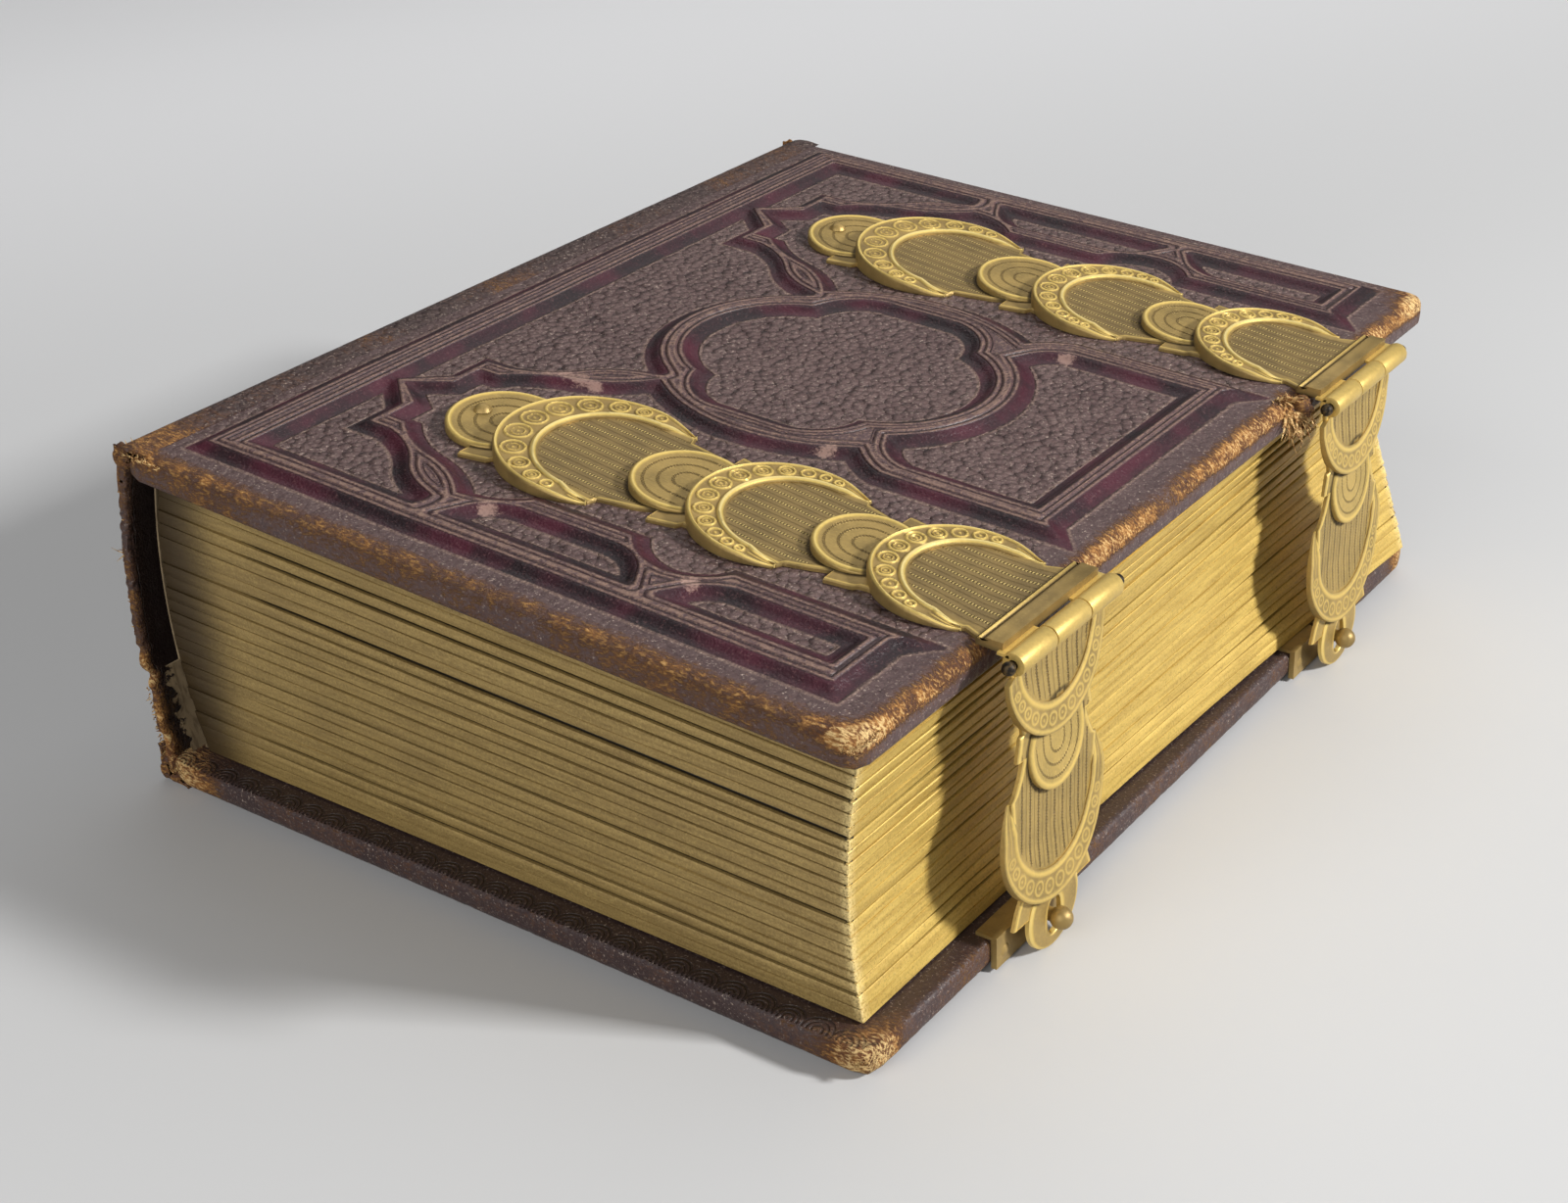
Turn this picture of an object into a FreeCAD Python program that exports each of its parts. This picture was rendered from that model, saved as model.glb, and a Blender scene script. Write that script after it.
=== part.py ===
import FreeCAD, Part
import math
import os

# A photograph album in full leather, with an embossed front cover, thick gilt leaves, a hollow
# back and two brass clasps. It lies on its back cover.
# X runs from the spine to the fore-edge, Y from the tail to the head, Z up, in millimetres.
# The shapes are built with X and Y measured from the spine and the tail of the covers, and are
# moved at the end so that the origin is under the middle of the whole album.

Vector = FreeCAD.Vector
ALONG_X = Vector(1, 0, 0)
ALONG_Y = Vector(0, 1, 0)
ALONG_Z = Vector(0, 0, 1)

# Overall sizes
COVER_HEIGHT = 152.0
FORE_EDGE = 115.6
FRONT_SPINE_EDGE = -1.2
BACK_SPINE_EDGE = -4.0
SPINE_THICKNESS = 53.1
FORE_THICKNESS = 46.3

# Covers: a millboard in leather, whose turn-ins frame the paper lining
COVER_THICKNESS = 4.6
LEATHER = 0.9
TURN_IN_THICKNESS = 0.5
TURN_IN_WIDTH = 9.0
CORNER_RADIUS = 3.0
OUTER_ROUND = 2.2
INNER_ROUND = 1.0
LINING_GAP = 0.2

# Embossing of the front cover: raised mouldings over the ground of the leather
RELIEF = 0.8
BEVEL = 2.2
PATTERN_SHIFT = 0.6
FRAME_SPINE_INSET = 7.0
FRAME_FORE_INSET = 6.2
FRAME_END_INSET = 4.3
FLARE = 3.7
FIELD_END_INSET = 11.6
FIELD_SPINE_INSET = 15.7

# Page block
BLOCK_END_INSET = 4.2
BLOCK_FORE_INSET = 3.4
BLOCK_FORE_HOLLOW = 2.0
BLOCK_BACK = 0.2
BLOCK_BACK_ROUND = 3.0
BLOCK_GAP = 0.3
BLOCK_FOOT_SPLAY = 3.5
BLOCK_FOOT_LIFT = 0.7

# Spine: a hollow leather back, and the lining glued to the page block
SPINE_LEATHER = 1.2
SPINE_BULGE = 7.0
JOINT_OUT = 1.5
FRONT_JOINT_DEPTH = 1.9
BACK_JOINT_HEIGHT = 0.9
JOINT_GAP = 0.35
SPINE_LINING = 0.3
SPINE_LINING_GAP = 0.05
LINING_TAIL = 0.8
LINING_FLAP_LOW = 6.0
LINING_FLAP_HIGH = 19.0

# Clasps
CLASP_FROM_MIDDLE = 41.5
BRASS = 0.8
RIM = 1.1
RIM_HEIGHT = 0.35
SCALE_SLOPE = 0.1
BAND_HALF_WIDTH = 8.4
STRAP_BAR_HALF = 10.7
STRAP_BAR_WIDTH = 2.4
STRAP_BAR_HEIGHT = 1.5
KNUCKLE_RADIUS = 1.5
KNUCKLE_REACH = 4.6
KNUCKLE_DROP = 0.5
KNUCKLE_HALF = 11.4
KNUCKLE_CENTRE_HALF = 3.8
KNUCKLE_GAP = 0.15
PIN_RADIUS = 0.55
PIN_CLEARANCE = 0.05
PIN_BEAD = 0.85
SWING_GAP = 0.3
HASP_BEHIND_AXIS = 0.7
HASP_BAND_HALF = 5.2
HASP_TOP = 2.0
HASP_LOBE_RADIUS = 5.2
HASP_FOOT_CLEARANCE = 0.4
SLOT_WIDTH = 4.0
SLOT_HEIGHT = 5.4
CATCH_HALF_WIDTH = 9.0
CATCH_THICKNESS = 0.8
CATCH_FLANGE = 2.2
CATCH_FLANGE_THICKNESS = 0.5
CATCH_FOOT = 0.5
STUD_HEIGHT = 4.3
STUD_NECK_RADIUS = 0.9
STUD_BALL_RADIUS = 1.5
STUD_REACH = 4.6
NAIL_SHANK_RADIUS = 0.5
NAIL_HOLE_CLEARANCE = 0.05
STRAP_NAIL_HEAD = 1.3
STRAP_NAIL_LENGTH = 3.4
STRAP_NAIL_AT = 89.6
CATCH_NAIL_HEAD = 0.9
CATCH_NAIL_PROUD = 0.2
CATCH_NAIL_LENGTH = 4.0
CATCH_NAIL_SPACING = 7.0

# The scales of a clasp, as (kind, distance of the centre from the hinge, radius, height of the
# rounded end). A scale's rounded end points away from the hinge, and it sinks towards it.
STRAP_SCALES = [("disc", 85.3, 8.2, 1.7), ("crescent", 69.3, 13.3, 3.1), ("disc", 53.8, 7.7, 2.2),
                ("crescent", 39.8, 12.0, 2.8), ("disc", 26.9, 6.9, 2.0), ("crescent", 14.2, 10.9, 2.6)]
STRAP_EARS = [(83.8, 11.0), (52.7, 10.2), (26.7, 9.4)]
HASP_SCALES = [("crescent", 25.7, 11.8, 2.0), ("disc", 15.6, 6.2, 1.7), ("crescent", 2.8, 10.9, 2.0)]
HASP_EARS = [(38.6, 8.6), (14.2, 8.6)]
EAR_HALF_LENGTH = 2.6

# Values that follow from those above
MIDDLE = COVER_HEIGHT / 2 + PATTERN_SHIFT
WEDGE = math.atan((SPINE_THICKNESS - FORE_THICKNESS) / FORE_EDGE)
INNER_FACE = COVER_THICKNESS
CHANNEL_LOW = -12.8
CHANNEL_HIGH = 14.9
KNUCKLE_X = FORE_EDGE + KNUCKLE_REACH
LAST_DISC_END = STRAP_SCALES[0][1] + STRAP_SCALES[0][2]
LAST_DISC_HEIGHT = STRAP_SCALES[0][3] - RIM_HEIGHT
STRAP_NAIL_SEAT = LAST_DISC_HEIGHT - SCALE_SLOPE * (LAST_DISC_END - STRAP_NAIL_AT) + 0.12
CLASPS = {"tail": MIDDLE - CLASP_FROM_MIDDLE, "head": MIDDLE + CLASP_FROM_MIDDLE}


def box(x0, x1, y0, y1, z0, z1):
    """Box between two corners."""
    return Part.makeBox(x1 - x0, y1 - y0, z1 - z0, Vector(x0, y0, z0))


def one_solid(shape):
    """The single solid of a fused or cut shape, with merged faces."""
    refined = shape.removeSplitter()
    return max(refined.Solids, key=lambda solid: solid.Volume)


def on_front_cover(x, y, z):
    """Point of the front cover, given in its own flat frame: z is 0 on its outer face."""
    point = FreeCAD.Rotation(ALONG_Y, math.degrees(WEDGE)).multVec(Vector(x, 0, z))
    return point + Vector(0, y, SPINE_THICKNESS)


def place_front(shape):
    """Turn a flat front cover piece to the wedge of the album and lift it to its place."""
    placed = shape.copy()
    placed.rotate(Vector(0, 0, 0), ALONG_Y, math.degrees(WEDGE))
    placed.translate(Vector(0, 0, SPINE_THICKNESS))
    return placed


def place_back(shape):
    """Turn a flat cover piece over, so that its outer face lies on the table."""
    return shape.mirror(Vector(0, 0, 0), ALONG_Z)


def outline(points):
    """Flat face from (x, y, rise) points. A side with a rise is an arc, whose middle stands that
    far to the left of the straight line to the next point."""
    edges = []
    for (x0, y0, rise), (x1, y1, _) in zip(points, points[1:] + points[:1]):
        start, end = Vector(x0, y0, 0), Vector(x1, y1, 0)
        if rise == 0:
            edges.append(Part.LineSegment(start, end).toShape())
            continue
        left = Vector(y0 - y1, x1 - x0, 0).normalize()
        edges.append(Part.Arc(start, (start + end) / 2 + left * rise, end).toShape())
    return Part.Face(Part.Wire(edges))


def slab(x0, x1, y0, y1, z0, z1, corner, round_top, round_bottom):
    """Slab with rounded corners and rounded top and bottom edges."""
    shape = box(x0, x1, y0, y1, z0, z1)
    uprights = [edge for edge in shape.Edges if edge.BoundBox.ZLength > 0.5 * (z1 - z0)]
    shape = shape.makeFillet(corner, uprights)
    for level, radius in ((z1, round_top), (z0, round_bottom)):
        rim = [edge for edge in shape.Edges
               if abs(edge.BoundBox.ZMin - level) < 1e-4 and abs(edge.BoundBox.ZMax - level) < 1e-4]
        shape = shape.makeFillet(radius, rim)
    return shape


def cover(spine_edge):
    """Board, leather and paper lining of a flat cover, with its outer face at z 0."""
    board = slab(spine_edge + LEATHER, FORE_EDGE - LEATHER, LEATHER, COVER_HEIGHT - LEATHER,
                 TURN_IN_THICKNESS - COVER_THICKNESS, -LEATHER,
                 CORNER_RADIUS - LEATHER, OUTER_ROUND - LEATHER, INNER_ROUND - LEATHER / 2)
    skin = slab(spine_edge, FORE_EDGE, 0, COVER_HEIGHT, -COVER_THICKNESS, 0,
                CORNER_RADIUS, OUTER_ROUND, INNER_ROUND)
    window = box(spine_edge + TURN_IN_WIDTH, FORE_EDGE - TURN_IN_WIDTH,
                 TURN_IN_WIDTH, COVER_HEIGHT - TURN_IN_WIDTH,
                 -COVER_THICKNESS - 1, TURN_IN_THICKNESS - COVER_THICKNESS)
    leather = skin.cut(board).cut(window)
    inset = TURN_IN_WIDTH + LINING_GAP
    lining = box(spine_edge + inset, FORE_EDGE - inset, inset, COVER_HEIGHT - inset,
                 -COVER_THICKNESS, TURN_IN_THICKNESS - COVER_THICKNESS)
    return board, one_solid(leather), lining


def frame_outline():
    """Outer foot of the embossed frame, with ears where the clasp channels run out."""
    left = FRONT_SPINE_EDGE + FRAME_SPINE_INSET
    right = FORE_EDGE - FRAME_FORE_INSET
    ear = right + FLARE
    tail = FRAME_END_INSET + 0.6
    low = CLASPS["tail"] + CHANNEL_LOW
    high = CLASPS["tail"] + CHANNEL_HIGH
    side = [(right, low - 4.3), (ear, low), (ear, high), (right, high + 4.2)]
    other = [(x, 2 * MIDDLE - y) for x, y in reversed(side)]
    corners = [(left, tail), (right, tail)] + side + other
    corners += [(right, 2 * MIDDLE - tail), (left, 2 * MIDDLE - tail)]
    return outline([(x, y, 0) for x, y in corners])


def channel_outline():
    """Sunk channel of the tail clasp, from the fore-edge to its pointed end at the spine."""
    axis = CLASPS["tail"] + 0.8
    low = CLASPS["tail"] + CHANNEL_LOW
    high = CLASPS["tail"] + CHANNEL_HIGH
    edge = FORE_EDGE
    return outline([
        (edge + 8, low, 0), (edge - 32.6, low, 1.1), (edge - 38.6, low - 4.2, 1.1),
        (edge - 45.6, low, 0), (edge - 63.6, low, 0.9), (edge - 70.8, low - 4.0, -0.8),
        (edge - 81.1, axis - 12.3, 0.8), (edge - 90.1, axis - 6.9, 0), (edge - 92.1, axis - 6.9, 0),
        (edge - 92.1, axis - 2.8, 0), (edge - 96.1, axis, 0), (edge - 92.1, axis + 2.8, 0),
        (edge - 92.1, axis + 6.9, 0), (edge - 90.1, axis + 6.9, 0.8), (edge - 81.1, axis + 12.3, -0.8),
        (edge - 71.8, axis + 18.6, 1.0), (edge - 63.6, high, 0), (edge - 47.6, high, 1.4),
        (edge - 39.6, high + 5.8, 1.4), (edge - 32.6, high, 0), (edge + 8, high, 0)])


def corner_panel():
    """Sunk panel at the spine and tail, under the curve of the channel."""
    axis = CLASPS["tail"] + 0.8
    left = FRONT_SPINE_EDGE + FIELD_SPINE_INSET
    tail = FIELD_END_INSET + 0.6
    edge = FORE_EDGE
    return outline([
        (left, tail, 0), (edge - 77.1, tail, 0.5), (edge - 83.8, axis - 19.0, -0.7),
        (edge - 91.6, axis - 13.8, 0), (edge - 97.3, axis - 13.8, 0), (edge - 97.3, axis - 6.2, 0),
        (left, axis - 3.0, 0)])


def spine_panel():
    """Large sunk panel at the spine, between the clasps and round the medallion."""
    axis = CLASPS["tail"] + 0.8
    high = CLASPS["tail"] + CHANNEL_HIGH
    left = FRONT_SPINE_EDGE + FIELD_SPINE_INSET
    edge = FORE_EDGE
    lower = [(left, axis + 3.0), (edge - 97.3, axis + 6.2), (edge - 97.3, axis + 13.8),
             (edge - 91.6, axis + 13.8), (edge - 84.1, axis + 18.7), (edge - 76.1, high + 9.8)]
    upper = [(x, 2 * MIDDLE - y) for x, y in reversed(lower)]
    rises = [0, 0, 0, -0.7, 0.7, 8.6, 0.7, -0.7, 0, 0, 0, 0]
    return outline([(x, y, rise) for (x, y), rise in zip(lower + upper, rises)])


def medallion():
    """Four-lobed sunk field in the middle of the cover, with cusps between its lobes."""
    edge = FORE_EDGE
    low = CLASPS["tail"] + CHANNEL_HIGH + 7.5
    half = MIDDLE - low
    cusp = MIDDLE - 0.64 * half
    left, right = edge - 68.2, edge - 44.0
    lower = [(left, cusp, -1.6), (edge - 62.1, low, 0), (edge - 50.1, low, -1.6)]
    upper = [(right, 2 * MIDDLE - cusp, -1.6), (edge - 50.1, 2 * MIDDLE - low, 0),
             (edge - 62.1, 2 * MIDDLE - low, -1.6)]
    return outline(lower + [(right, cusp, -9.1)] + upper + [(left, 2 * MIDDLE - cusp, -9.1)])


def fore_panel():
    """Sunk panel between the medallion and the fore-edge."""
    edge = FORE_EDGE
    low = CLASPS["tail"] + CHANNEL_HIGH + 7.5
    far = 2 * MIDDLE - low
    return outline([
        (edge - 30.6, low, 0), (edge - 13.0, low, 0), (edge - 13.0, far, 0), (edge - 30.6, far, -0.6),
        (edge - 34.6, far - 3.4, 7.1), (edge - 34.6, low + 3.4, -0.6)])


def end_panels():
    """The two narrow sunk panels along the tail."""
    edge = FORE_EDGE
    tail = FIELD_END_INSET + 0.6
    top = CLASPS["tail"] + CHANNEL_LOW - 6.8
    middle_panel = outline([(edge - 66.6, tail, 0), (edge - 42.6, tail, -0.8), (edge - 47.6, top, 0),
                            (edge - 62.1, top, -0.8)])
    fore = outline([(edge - 32.6, tail, 0), (edge - 12.6, tail, 0), (edge - 12.6, top, 0),
                    (edge - 28.6, top, -0.5)])
    return [middle_panel, fore]


def raised_pattern():
    """The mouldings: the frame without its channels and sunk panels. Each side of a moulding is
    drawn in by half its bevel, so that the solid has the moulding's mean width."""
    bite = LEATHER / 2
    tail_half = [channel_outline(), corner_panel()] + end_panels()
    head_half = [face.mirror(Vector(0, MIDDLE, 0), ALONG_Y) for face in tail_half]
    pattern = frame_outline().makeOffset2D(-BEVEL / 2).extrude(ALONG_Z * (RELIEF + bite))
    for sunk in tail_half + head_half + [spine_panel(), medallion(), fore_panel()]:
        wide = sunk.makeOffset2D(BEVEL / 2)
        wide.translate(ALONG_Z * -1)
        pattern = pattern.cut(wide.extrude(ALONG_Z * (RELIEF + 3)))
    pattern.translate(ALONG_Z * -bite)
    return pattern


def tilted_top(height, hinge_distance):
    """Half-space under a plane that rises away from the hinge to a height at that distance."""
    size = 400
    half = box(-size, size, -size, size, -size, 0)
    half.rotate(Vector(0, 0, 0), ALONG_Y, -math.degrees(math.atan(SCALE_SLOPE)))
    half.translate(Vector(hinge_distance, 0, height))
    return half


def scale(kind, distance, radius, height, cut_line):
    """One overlapping scale of a clasp, as a disc that rises away from the hinge, with a rim.
    X is the distance from the hinge, Y runs across and Z is the height over the back."""
    end = distance + radius
    column = Part.makeCylinder(radius, height + 2, Vector(distance, 0, 0), ALONG_Z)
    body = column.common(tilted_top(height - RIM_HEIGHT, end))
    inner = Part.makeCylinder(radius - RIM, height + 2, Vector(distance, 0, 0), ALONG_Z)
    rim = column.cut(inner).common(tilted_top(height, end))
    shape = body.fuse(rim)
    if kind == "crescent":
        field = Part.makeCylinder(radius * 0.62, height + 2, Vector(distance - radius * 0.1, 0, 0), ALONG_Z)
        sunk = field.cut(tilted_top(height - 2 * RIM_HEIGHT, end))
        shape = shape.cut(sunk)
    return shape.common(box(cut_line, end + 1, -radius - 1, radius + 1, 0, height + 2))


def ear_pair(distance, reach):
    """Pointed ears on both sides of a clasp's back plate."""
    half = EAR_HALF_LENGTH
    points = [(distance - half, -BAND_HALF_WIDTH / 2, 0), (distance - half, -reach + 2.2, 0),
              (distance, -reach, 0), (distance + half, -reach + 3.4, 0),
              (distance + half, reach - 3.4, 0), (distance, reach, 0), (distance - half, reach - 2.2, 0),
              (distance - half, BAND_HALF_WIDTH / 2, 0)]
    return outline(points).extrude(ALONG_Z * BRASS)


def scales(rows, ears, cut_line, band_half, band_end):
    """Back plate with ears, under a row of scales."""
    shape = box(cut_line, band_end, -band_half, band_half, 0, BRASS)
    for distance, reach in ears:
        shape = shape.fuse(ear_pair(distance, reach))
    for kind, distance, radius, height in rows:
        shape = shape.fuse(scale(kind, distance, radius, height, cut_line))
    return shape


def tube(start, end):
    """Knuckle between two places along the hinge, bored for the pin."""
    outer = Part.makeCylinder(KNUCKLE_RADIUS, end - start, Vector(0, start, 0), ALONG_Y)
    bore = Part.makeCylinder(PIN_RADIUS + PIN_CLEARANCE, end - start + 2, Vector(0, start - 1, 0), ALONG_Y)
    return outer, bore


def strap():
    """Stamped strap with its two outer knuckles, in the flat frame of the cover, with the hinge
    axis at X 0. The strap runs towards minus X and its back lies at Z 0."""
    bar_end = KNUCKLE_RADIUS + SWING_GAP
    shape = scales(STRAP_SCALES, STRAP_EARS, bar_end, BAND_HALF_WIDTH, 85.3)
    flare = outline([(bar_end, -STRAP_BAR_HALF, 0), (bar_end + 8, -BAND_HALF_WIDTH, 0),
                     (bar_end + 8, BAND_HALF_WIDTH, 0), (bar_end, STRAP_BAR_HALF, 0)])
    shape = shape.fuse(flare.extrude(ALONG_Z * BRASS))
    shape = shape.fuse(box(bar_end, bar_end + STRAP_BAR_WIDTH, -STRAP_BAR_HALF, STRAP_BAR_HALF,
                           0, STRAP_BAR_HEIGHT))
    shape.rotate(Vector(0, 0, 0), ALONG_Z, 180)
    inner = KNUCKLE_CENTRE_HALF + KNUCKLE_GAP
    for start, end in ((-KNUCKLE_HALF, -inner), (inner, KNUCKLE_HALF)):
        outer, bore = tube(start, end)
        outer.translate(ALONG_Z * -KNUCKLE_DROP)
        bore.translate(ALONG_Z * -KNUCKLE_DROP)
        tab = box(-bar_end - 0.5, -KNUCKLE_RADIUS / 2, start, end, 0, BRASS)
        shape = shape.fuse(tab).fuse(outer).cut(bore)
    hole_radius = NAIL_SHANK_RADIUS + NAIL_HOLE_CLEARANCE
    hole = Part.makeCylinder(hole_radius, 8, Vector(-STRAP_NAIL_AT, 0, -2), ALONG_Z)
    return one_solid(shape.cut(hole))


def hasp():
    """Stamped hasp with the centre knuckle, in its own frame: the hinge axis is at X 0 and Z 0,
    the hasp hangs down, and its face looks to plus X."""
    length = HASP_LENGTH
    shape = scales(HASP_SCALES, HASP_EARS, HASP_TOP, HASP_BAND_HALF, length - HASP_LOBE_RADIUS)
    lobe_centre = length - HASP_LOBE_RADIUS
    shape = shape.fuse(Part.makeCylinder(HASP_LOBE_RADIUS, BRASS, Vector(lobe_centre, 0, 0), ALONG_Z))
    half, straight = SLOT_WIDTH / 2, (SLOT_HEIGHT - SLOT_WIDTH) / 2
    at = HASP_STUD_DISTANCE
    slot = outline([(at - straight, -half, 0), (at + straight, -half, -half), (at + straight, half, 0),
                    (at - straight, half, -half)])
    slot.translate(ALONG_Z * -1)
    shape = shape.cut(slot.extrude(ALONG_Z * (BRASS + 5)))
    shape.rotate(Vector(0, 0, 0), ALONG_Y, 90)
    back = -HASP_BEHIND_AXIS - BRASS
    shape.translate(Vector(back, 0, 0))
    outer, bore = tube(-KNUCKLE_CENTRE_HALF, KNUCKLE_CENTRE_HALF)
    neck = box(back, back + BRASS, -KNUCKLE_CENTRE_HALF, KNUCKLE_CENTRE_HALF, -HASP_TOP - 0.5, 0)
    return one_solid(shape.fuse(neck).fuse(outer).cut(bore))


def hinge_pin():
    """Pin through the three knuckles, with a rounded bead on each end."""
    pin = Part.makeCylinder(PIN_RADIUS, 2 * KNUCKLE_HALF + 1, Vector(0, -KNUCKLE_HALF - 0.5, 0), ALONG_Y)
    for side in (-1, 1):
        bead = Part.makeSphere(PIN_BEAD, Vector(0, side * (KNUCKLE_HALF + PIN_BEAD + 0.1), 0))
        pin = pin.fuse(bead)
    return one_solid(pin)


def catch_plate(y):
    """Brass angle on the fore-edge of the back cover, with holes for the stud and two nails."""
    x0, x1 = FORE_EDGE, FORE_EDGE + CATCH_THICKNESS
    top = INNER_FACE + CATCH_FLANGE_THICKNESS
    tail, head = y - CATCH_HALF_WIDTH, y + CATCH_HALF_WIDTH
    shape = box(x0, x1, tail, head, CATCH_FOOT, top)
    shape = shape.fuse(box(x0 - CATCH_FLANGE, x1, tail, head, INNER_FACE, top))
    holes = [(y, STUD_NECK_RADIUS)]
    holes += [(y + side * CATCH_NAIL_SPACING, NAIL_SHANK_RADIUS + NAIL_HOLE_CLEARANCE) for side in (-1, 1)]
    for place, radius in holes:
        level = STUD_HEIGHT if place == y else CATCH_NAIL_LEVEL
        start = Vector(x0 - 1, place, level)
        shape = shape.cut(Part.makeCylinder(radius, CATCH_THICKNESS + 2, start, ALONG_X))
    return one_solid(shape)


def stud(y):
    """Ball-headed stud, whose tenon fills its hole in the catch plate."""
    foot = Vector(FORE_EDGE, y, STUD_HEIGHT)
    neck = Part.makeCylinder(STUD_NECK_RADIUS, STUD_REACH, foot, ALONG_X)
    collar = Part.makeCylinder(STUD_NECK_RADIUS + 0.5, 0.6, foot + ALONG_X * CATCH_THICKNESS, ALONG_X)
    ball = Part.makeSphere(STUD_BALL_RADIUS, Vector(FORE_EDGE + STUD_REACH, y, STUD_HEIGHT))
    return one_solid(neck.fuse(collar).fuse(ball))


def nail(head_radius, head_height, length):
    """Nail with a domed head on the plane Z 0, pointing down."""
    radius = (head_radius ** 2 + head_height ** 2) / (2 * head_height)
    dome = Part.makeSphere(radius, Vector(0, 0, head_height - radius))
    dome = dome.common(box(-head_radius, head_radius, -head_radius, head_radius, 0, head_height + 1))
    shank = Part.makeCylinder(NAIL_SHANK_RADIUS, length - 0.6, Vector(0, 0, -length + 0.6), ALONG_Z)
    point = Part.makeCone(0.05, NAIL_SHANK_RADIUS, 0.6, Vector(0, 0, -length), ALONG_Z)
    return one_solid(dome.fuse(shank).fuse(point))


def circle_through(a, b, c):
    """Centre and radius of the circle through three (x, z) points."""
    arc = Part.Arc(Vector(a[0], 0, a[1]), Vector(b[0], 0, b[1]), Vector(c[0], 0, c[1]))
    circle = arc.toShape().Curve
    return circle.Center, circle.Radius


def bent_sheet(centre, radius, thickness, low, high, y0, y1):
    """Sheet bent round a centre line along Y, between two heights, bulging towards minus X."""
    ring = Part.makeCylinder(radius, y1 - y0, Vector(centre.x, y0, centre.z), ALONG_Y)
    ring = ring.cut(Part.makeCylinder(radius - thickness, y1 - y0, Vector(centre.x, y0, centre.z), ALONG_Y))
    return ring.common(box(centre.x - radius - 1, centre.x, y0, y1, low, high))


def spine_leather(front_joint, back_joint):
    """Hollow back between the two joints, with its tail end torn away unevenly."""
    shape = bent_sheet(SPINE_CENTRE, SPINE_RADIUS, SPINE_LEATHER, back_joint[1] + JOINT_GAP,
                       front_joint[1] - JOINT_GAP, 0, COVER_HEIGHT)
    x0 = SPINE_CENTRE.x - SPINE_RADIUS - 1
    torn = [(-1, 12.0), (0.6, 12.6), (2.4, 14.4), (3.0, 16.4), (2.2, 18.6), (0.8, 19.8), (-1, 20.6)]
    wire = Part.makePolygon([Vector(x0, y, z) for y, z in torn + torn[:1]])
    return one_solid(shape.cut(Part.Face(wire).extrude(ALONG_X * 12)))


def page_block():
    """The leaves as one solid: rounded back, hollow fore-edge, and a top that slopes with the
    front cover. Towards the head the lower leaves splay out past the others."""
    bottom = INNER_FACE + BLOCK_GAP
    fore = FORE_EDGE - BLOCK_FORE_INSET
    top_back = on_front_cover(BLOCK_BACK, 0, -COVER_THICKNESS - BLOCK_GAP)
    top_fore = on_front_cover(fore, 0, -COVER_THICKNESS - BLOCK_GAP)
    back_low = (BLOCK_BACK, bottom)
    back_high = (top_back.x, top_back.z)
    bulge = (BLOCK_BACK - BLOCK_BACK_ROUND, (bottom + top_back.z) / 2)
    sections = []
    for y, splay, lift in ((BLOCK_END_INSET, 0, 0),
                           (COVER_HEIGHT - BLOCK_END_INSET, BLOCK_FOOT_SPLAY, BLOCK_FOOT_LIFT)):
        foot = Vector(fore + splay, y, bottom + lift)
        hollow = Vector(fore - BLOCK_FORE_HOLLOW - splay / 4, y, (bottom + top_fore.z) / 2)
        low, high = Vector(back_low[0], y, back_low[1]), Vector(back_high[0], y, back_high[1])
        top = Vector(top_fore.x, y, top_fore.z)
        edges = [Part.LineSegment(low, foot).toShape(), Part.Arc(foot, hollow, top).toShape(),
                 Part.LineSegment(top, high).toShape(),
                 Part.Arc(high, Vector(bulge[0], y, bulge[1]), low).toShape()]
        sections.append(Part.Wire(edges))
    block = Part.makeLoft(sections, True, True)
    back_centre, back_radius = circle_through(back_low, bulge, back_high)
    return block, back_centre, back_radius


def spine_lining(centre, radius, top):
    """Lining glued to the rounded back of the leaves, with a strip torn loose past the tail."""
    outer = radius + SPINE_LINING_GAP + SPINE_LINING
    y0, y1 = BLOCK_END_INSET, COVER_HEIGHT - BLOCK_END_INSET
    low = INNER_FACE + BLOCK_GAP
    sheet = bent_sheet(centre, outer, SPINE_LINING, low + 0.5, top - 0.5, y0, y1)
    flap = bent_sheet(centre, outer, SPINE_LINING, LINING_FLAP_LOW, LINING_FLAP_HIGH, LINING_TAIL, y0)
    return one_solid(sheet.fuse(flap))


# Places that several pieces share
FRONT_JOINT_POINT = on_front_cover(FRONT_SPINE_EDGE - JOINT_OUT, 0, -FRONT_JOINT_DEPTH)
FRONT_JOINT = (FRONT_JOINT_POINT.x, FRONT_JOINT_POINT.z)
BACK_JOINT = (BACK_SPINE_EDGE - JOINT_OUT, BACK_JOINT_HEIGHT)
SPINE_CENTRE, SPINE_RADIUS = circle_through(FRONT_JOINT, (-SPINE_BULGE, SPINE_THICKNESS / 2), BACK_JOINT)
KNUCKLE_POINT = on_front_cover(KNUCKLE_X, 0, -KNUCKLE_DROP)
HASP_LENGTH = KNUCKLE_POINT.z - HASP_FOOT_CLEARANCE
HASP_STUD_DISTANCE = KNUCKLE_POINT.z - STUD_HEIGHT
CATCH_NAIL_LEVEL = COVER_THICKNESS / 2


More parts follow.
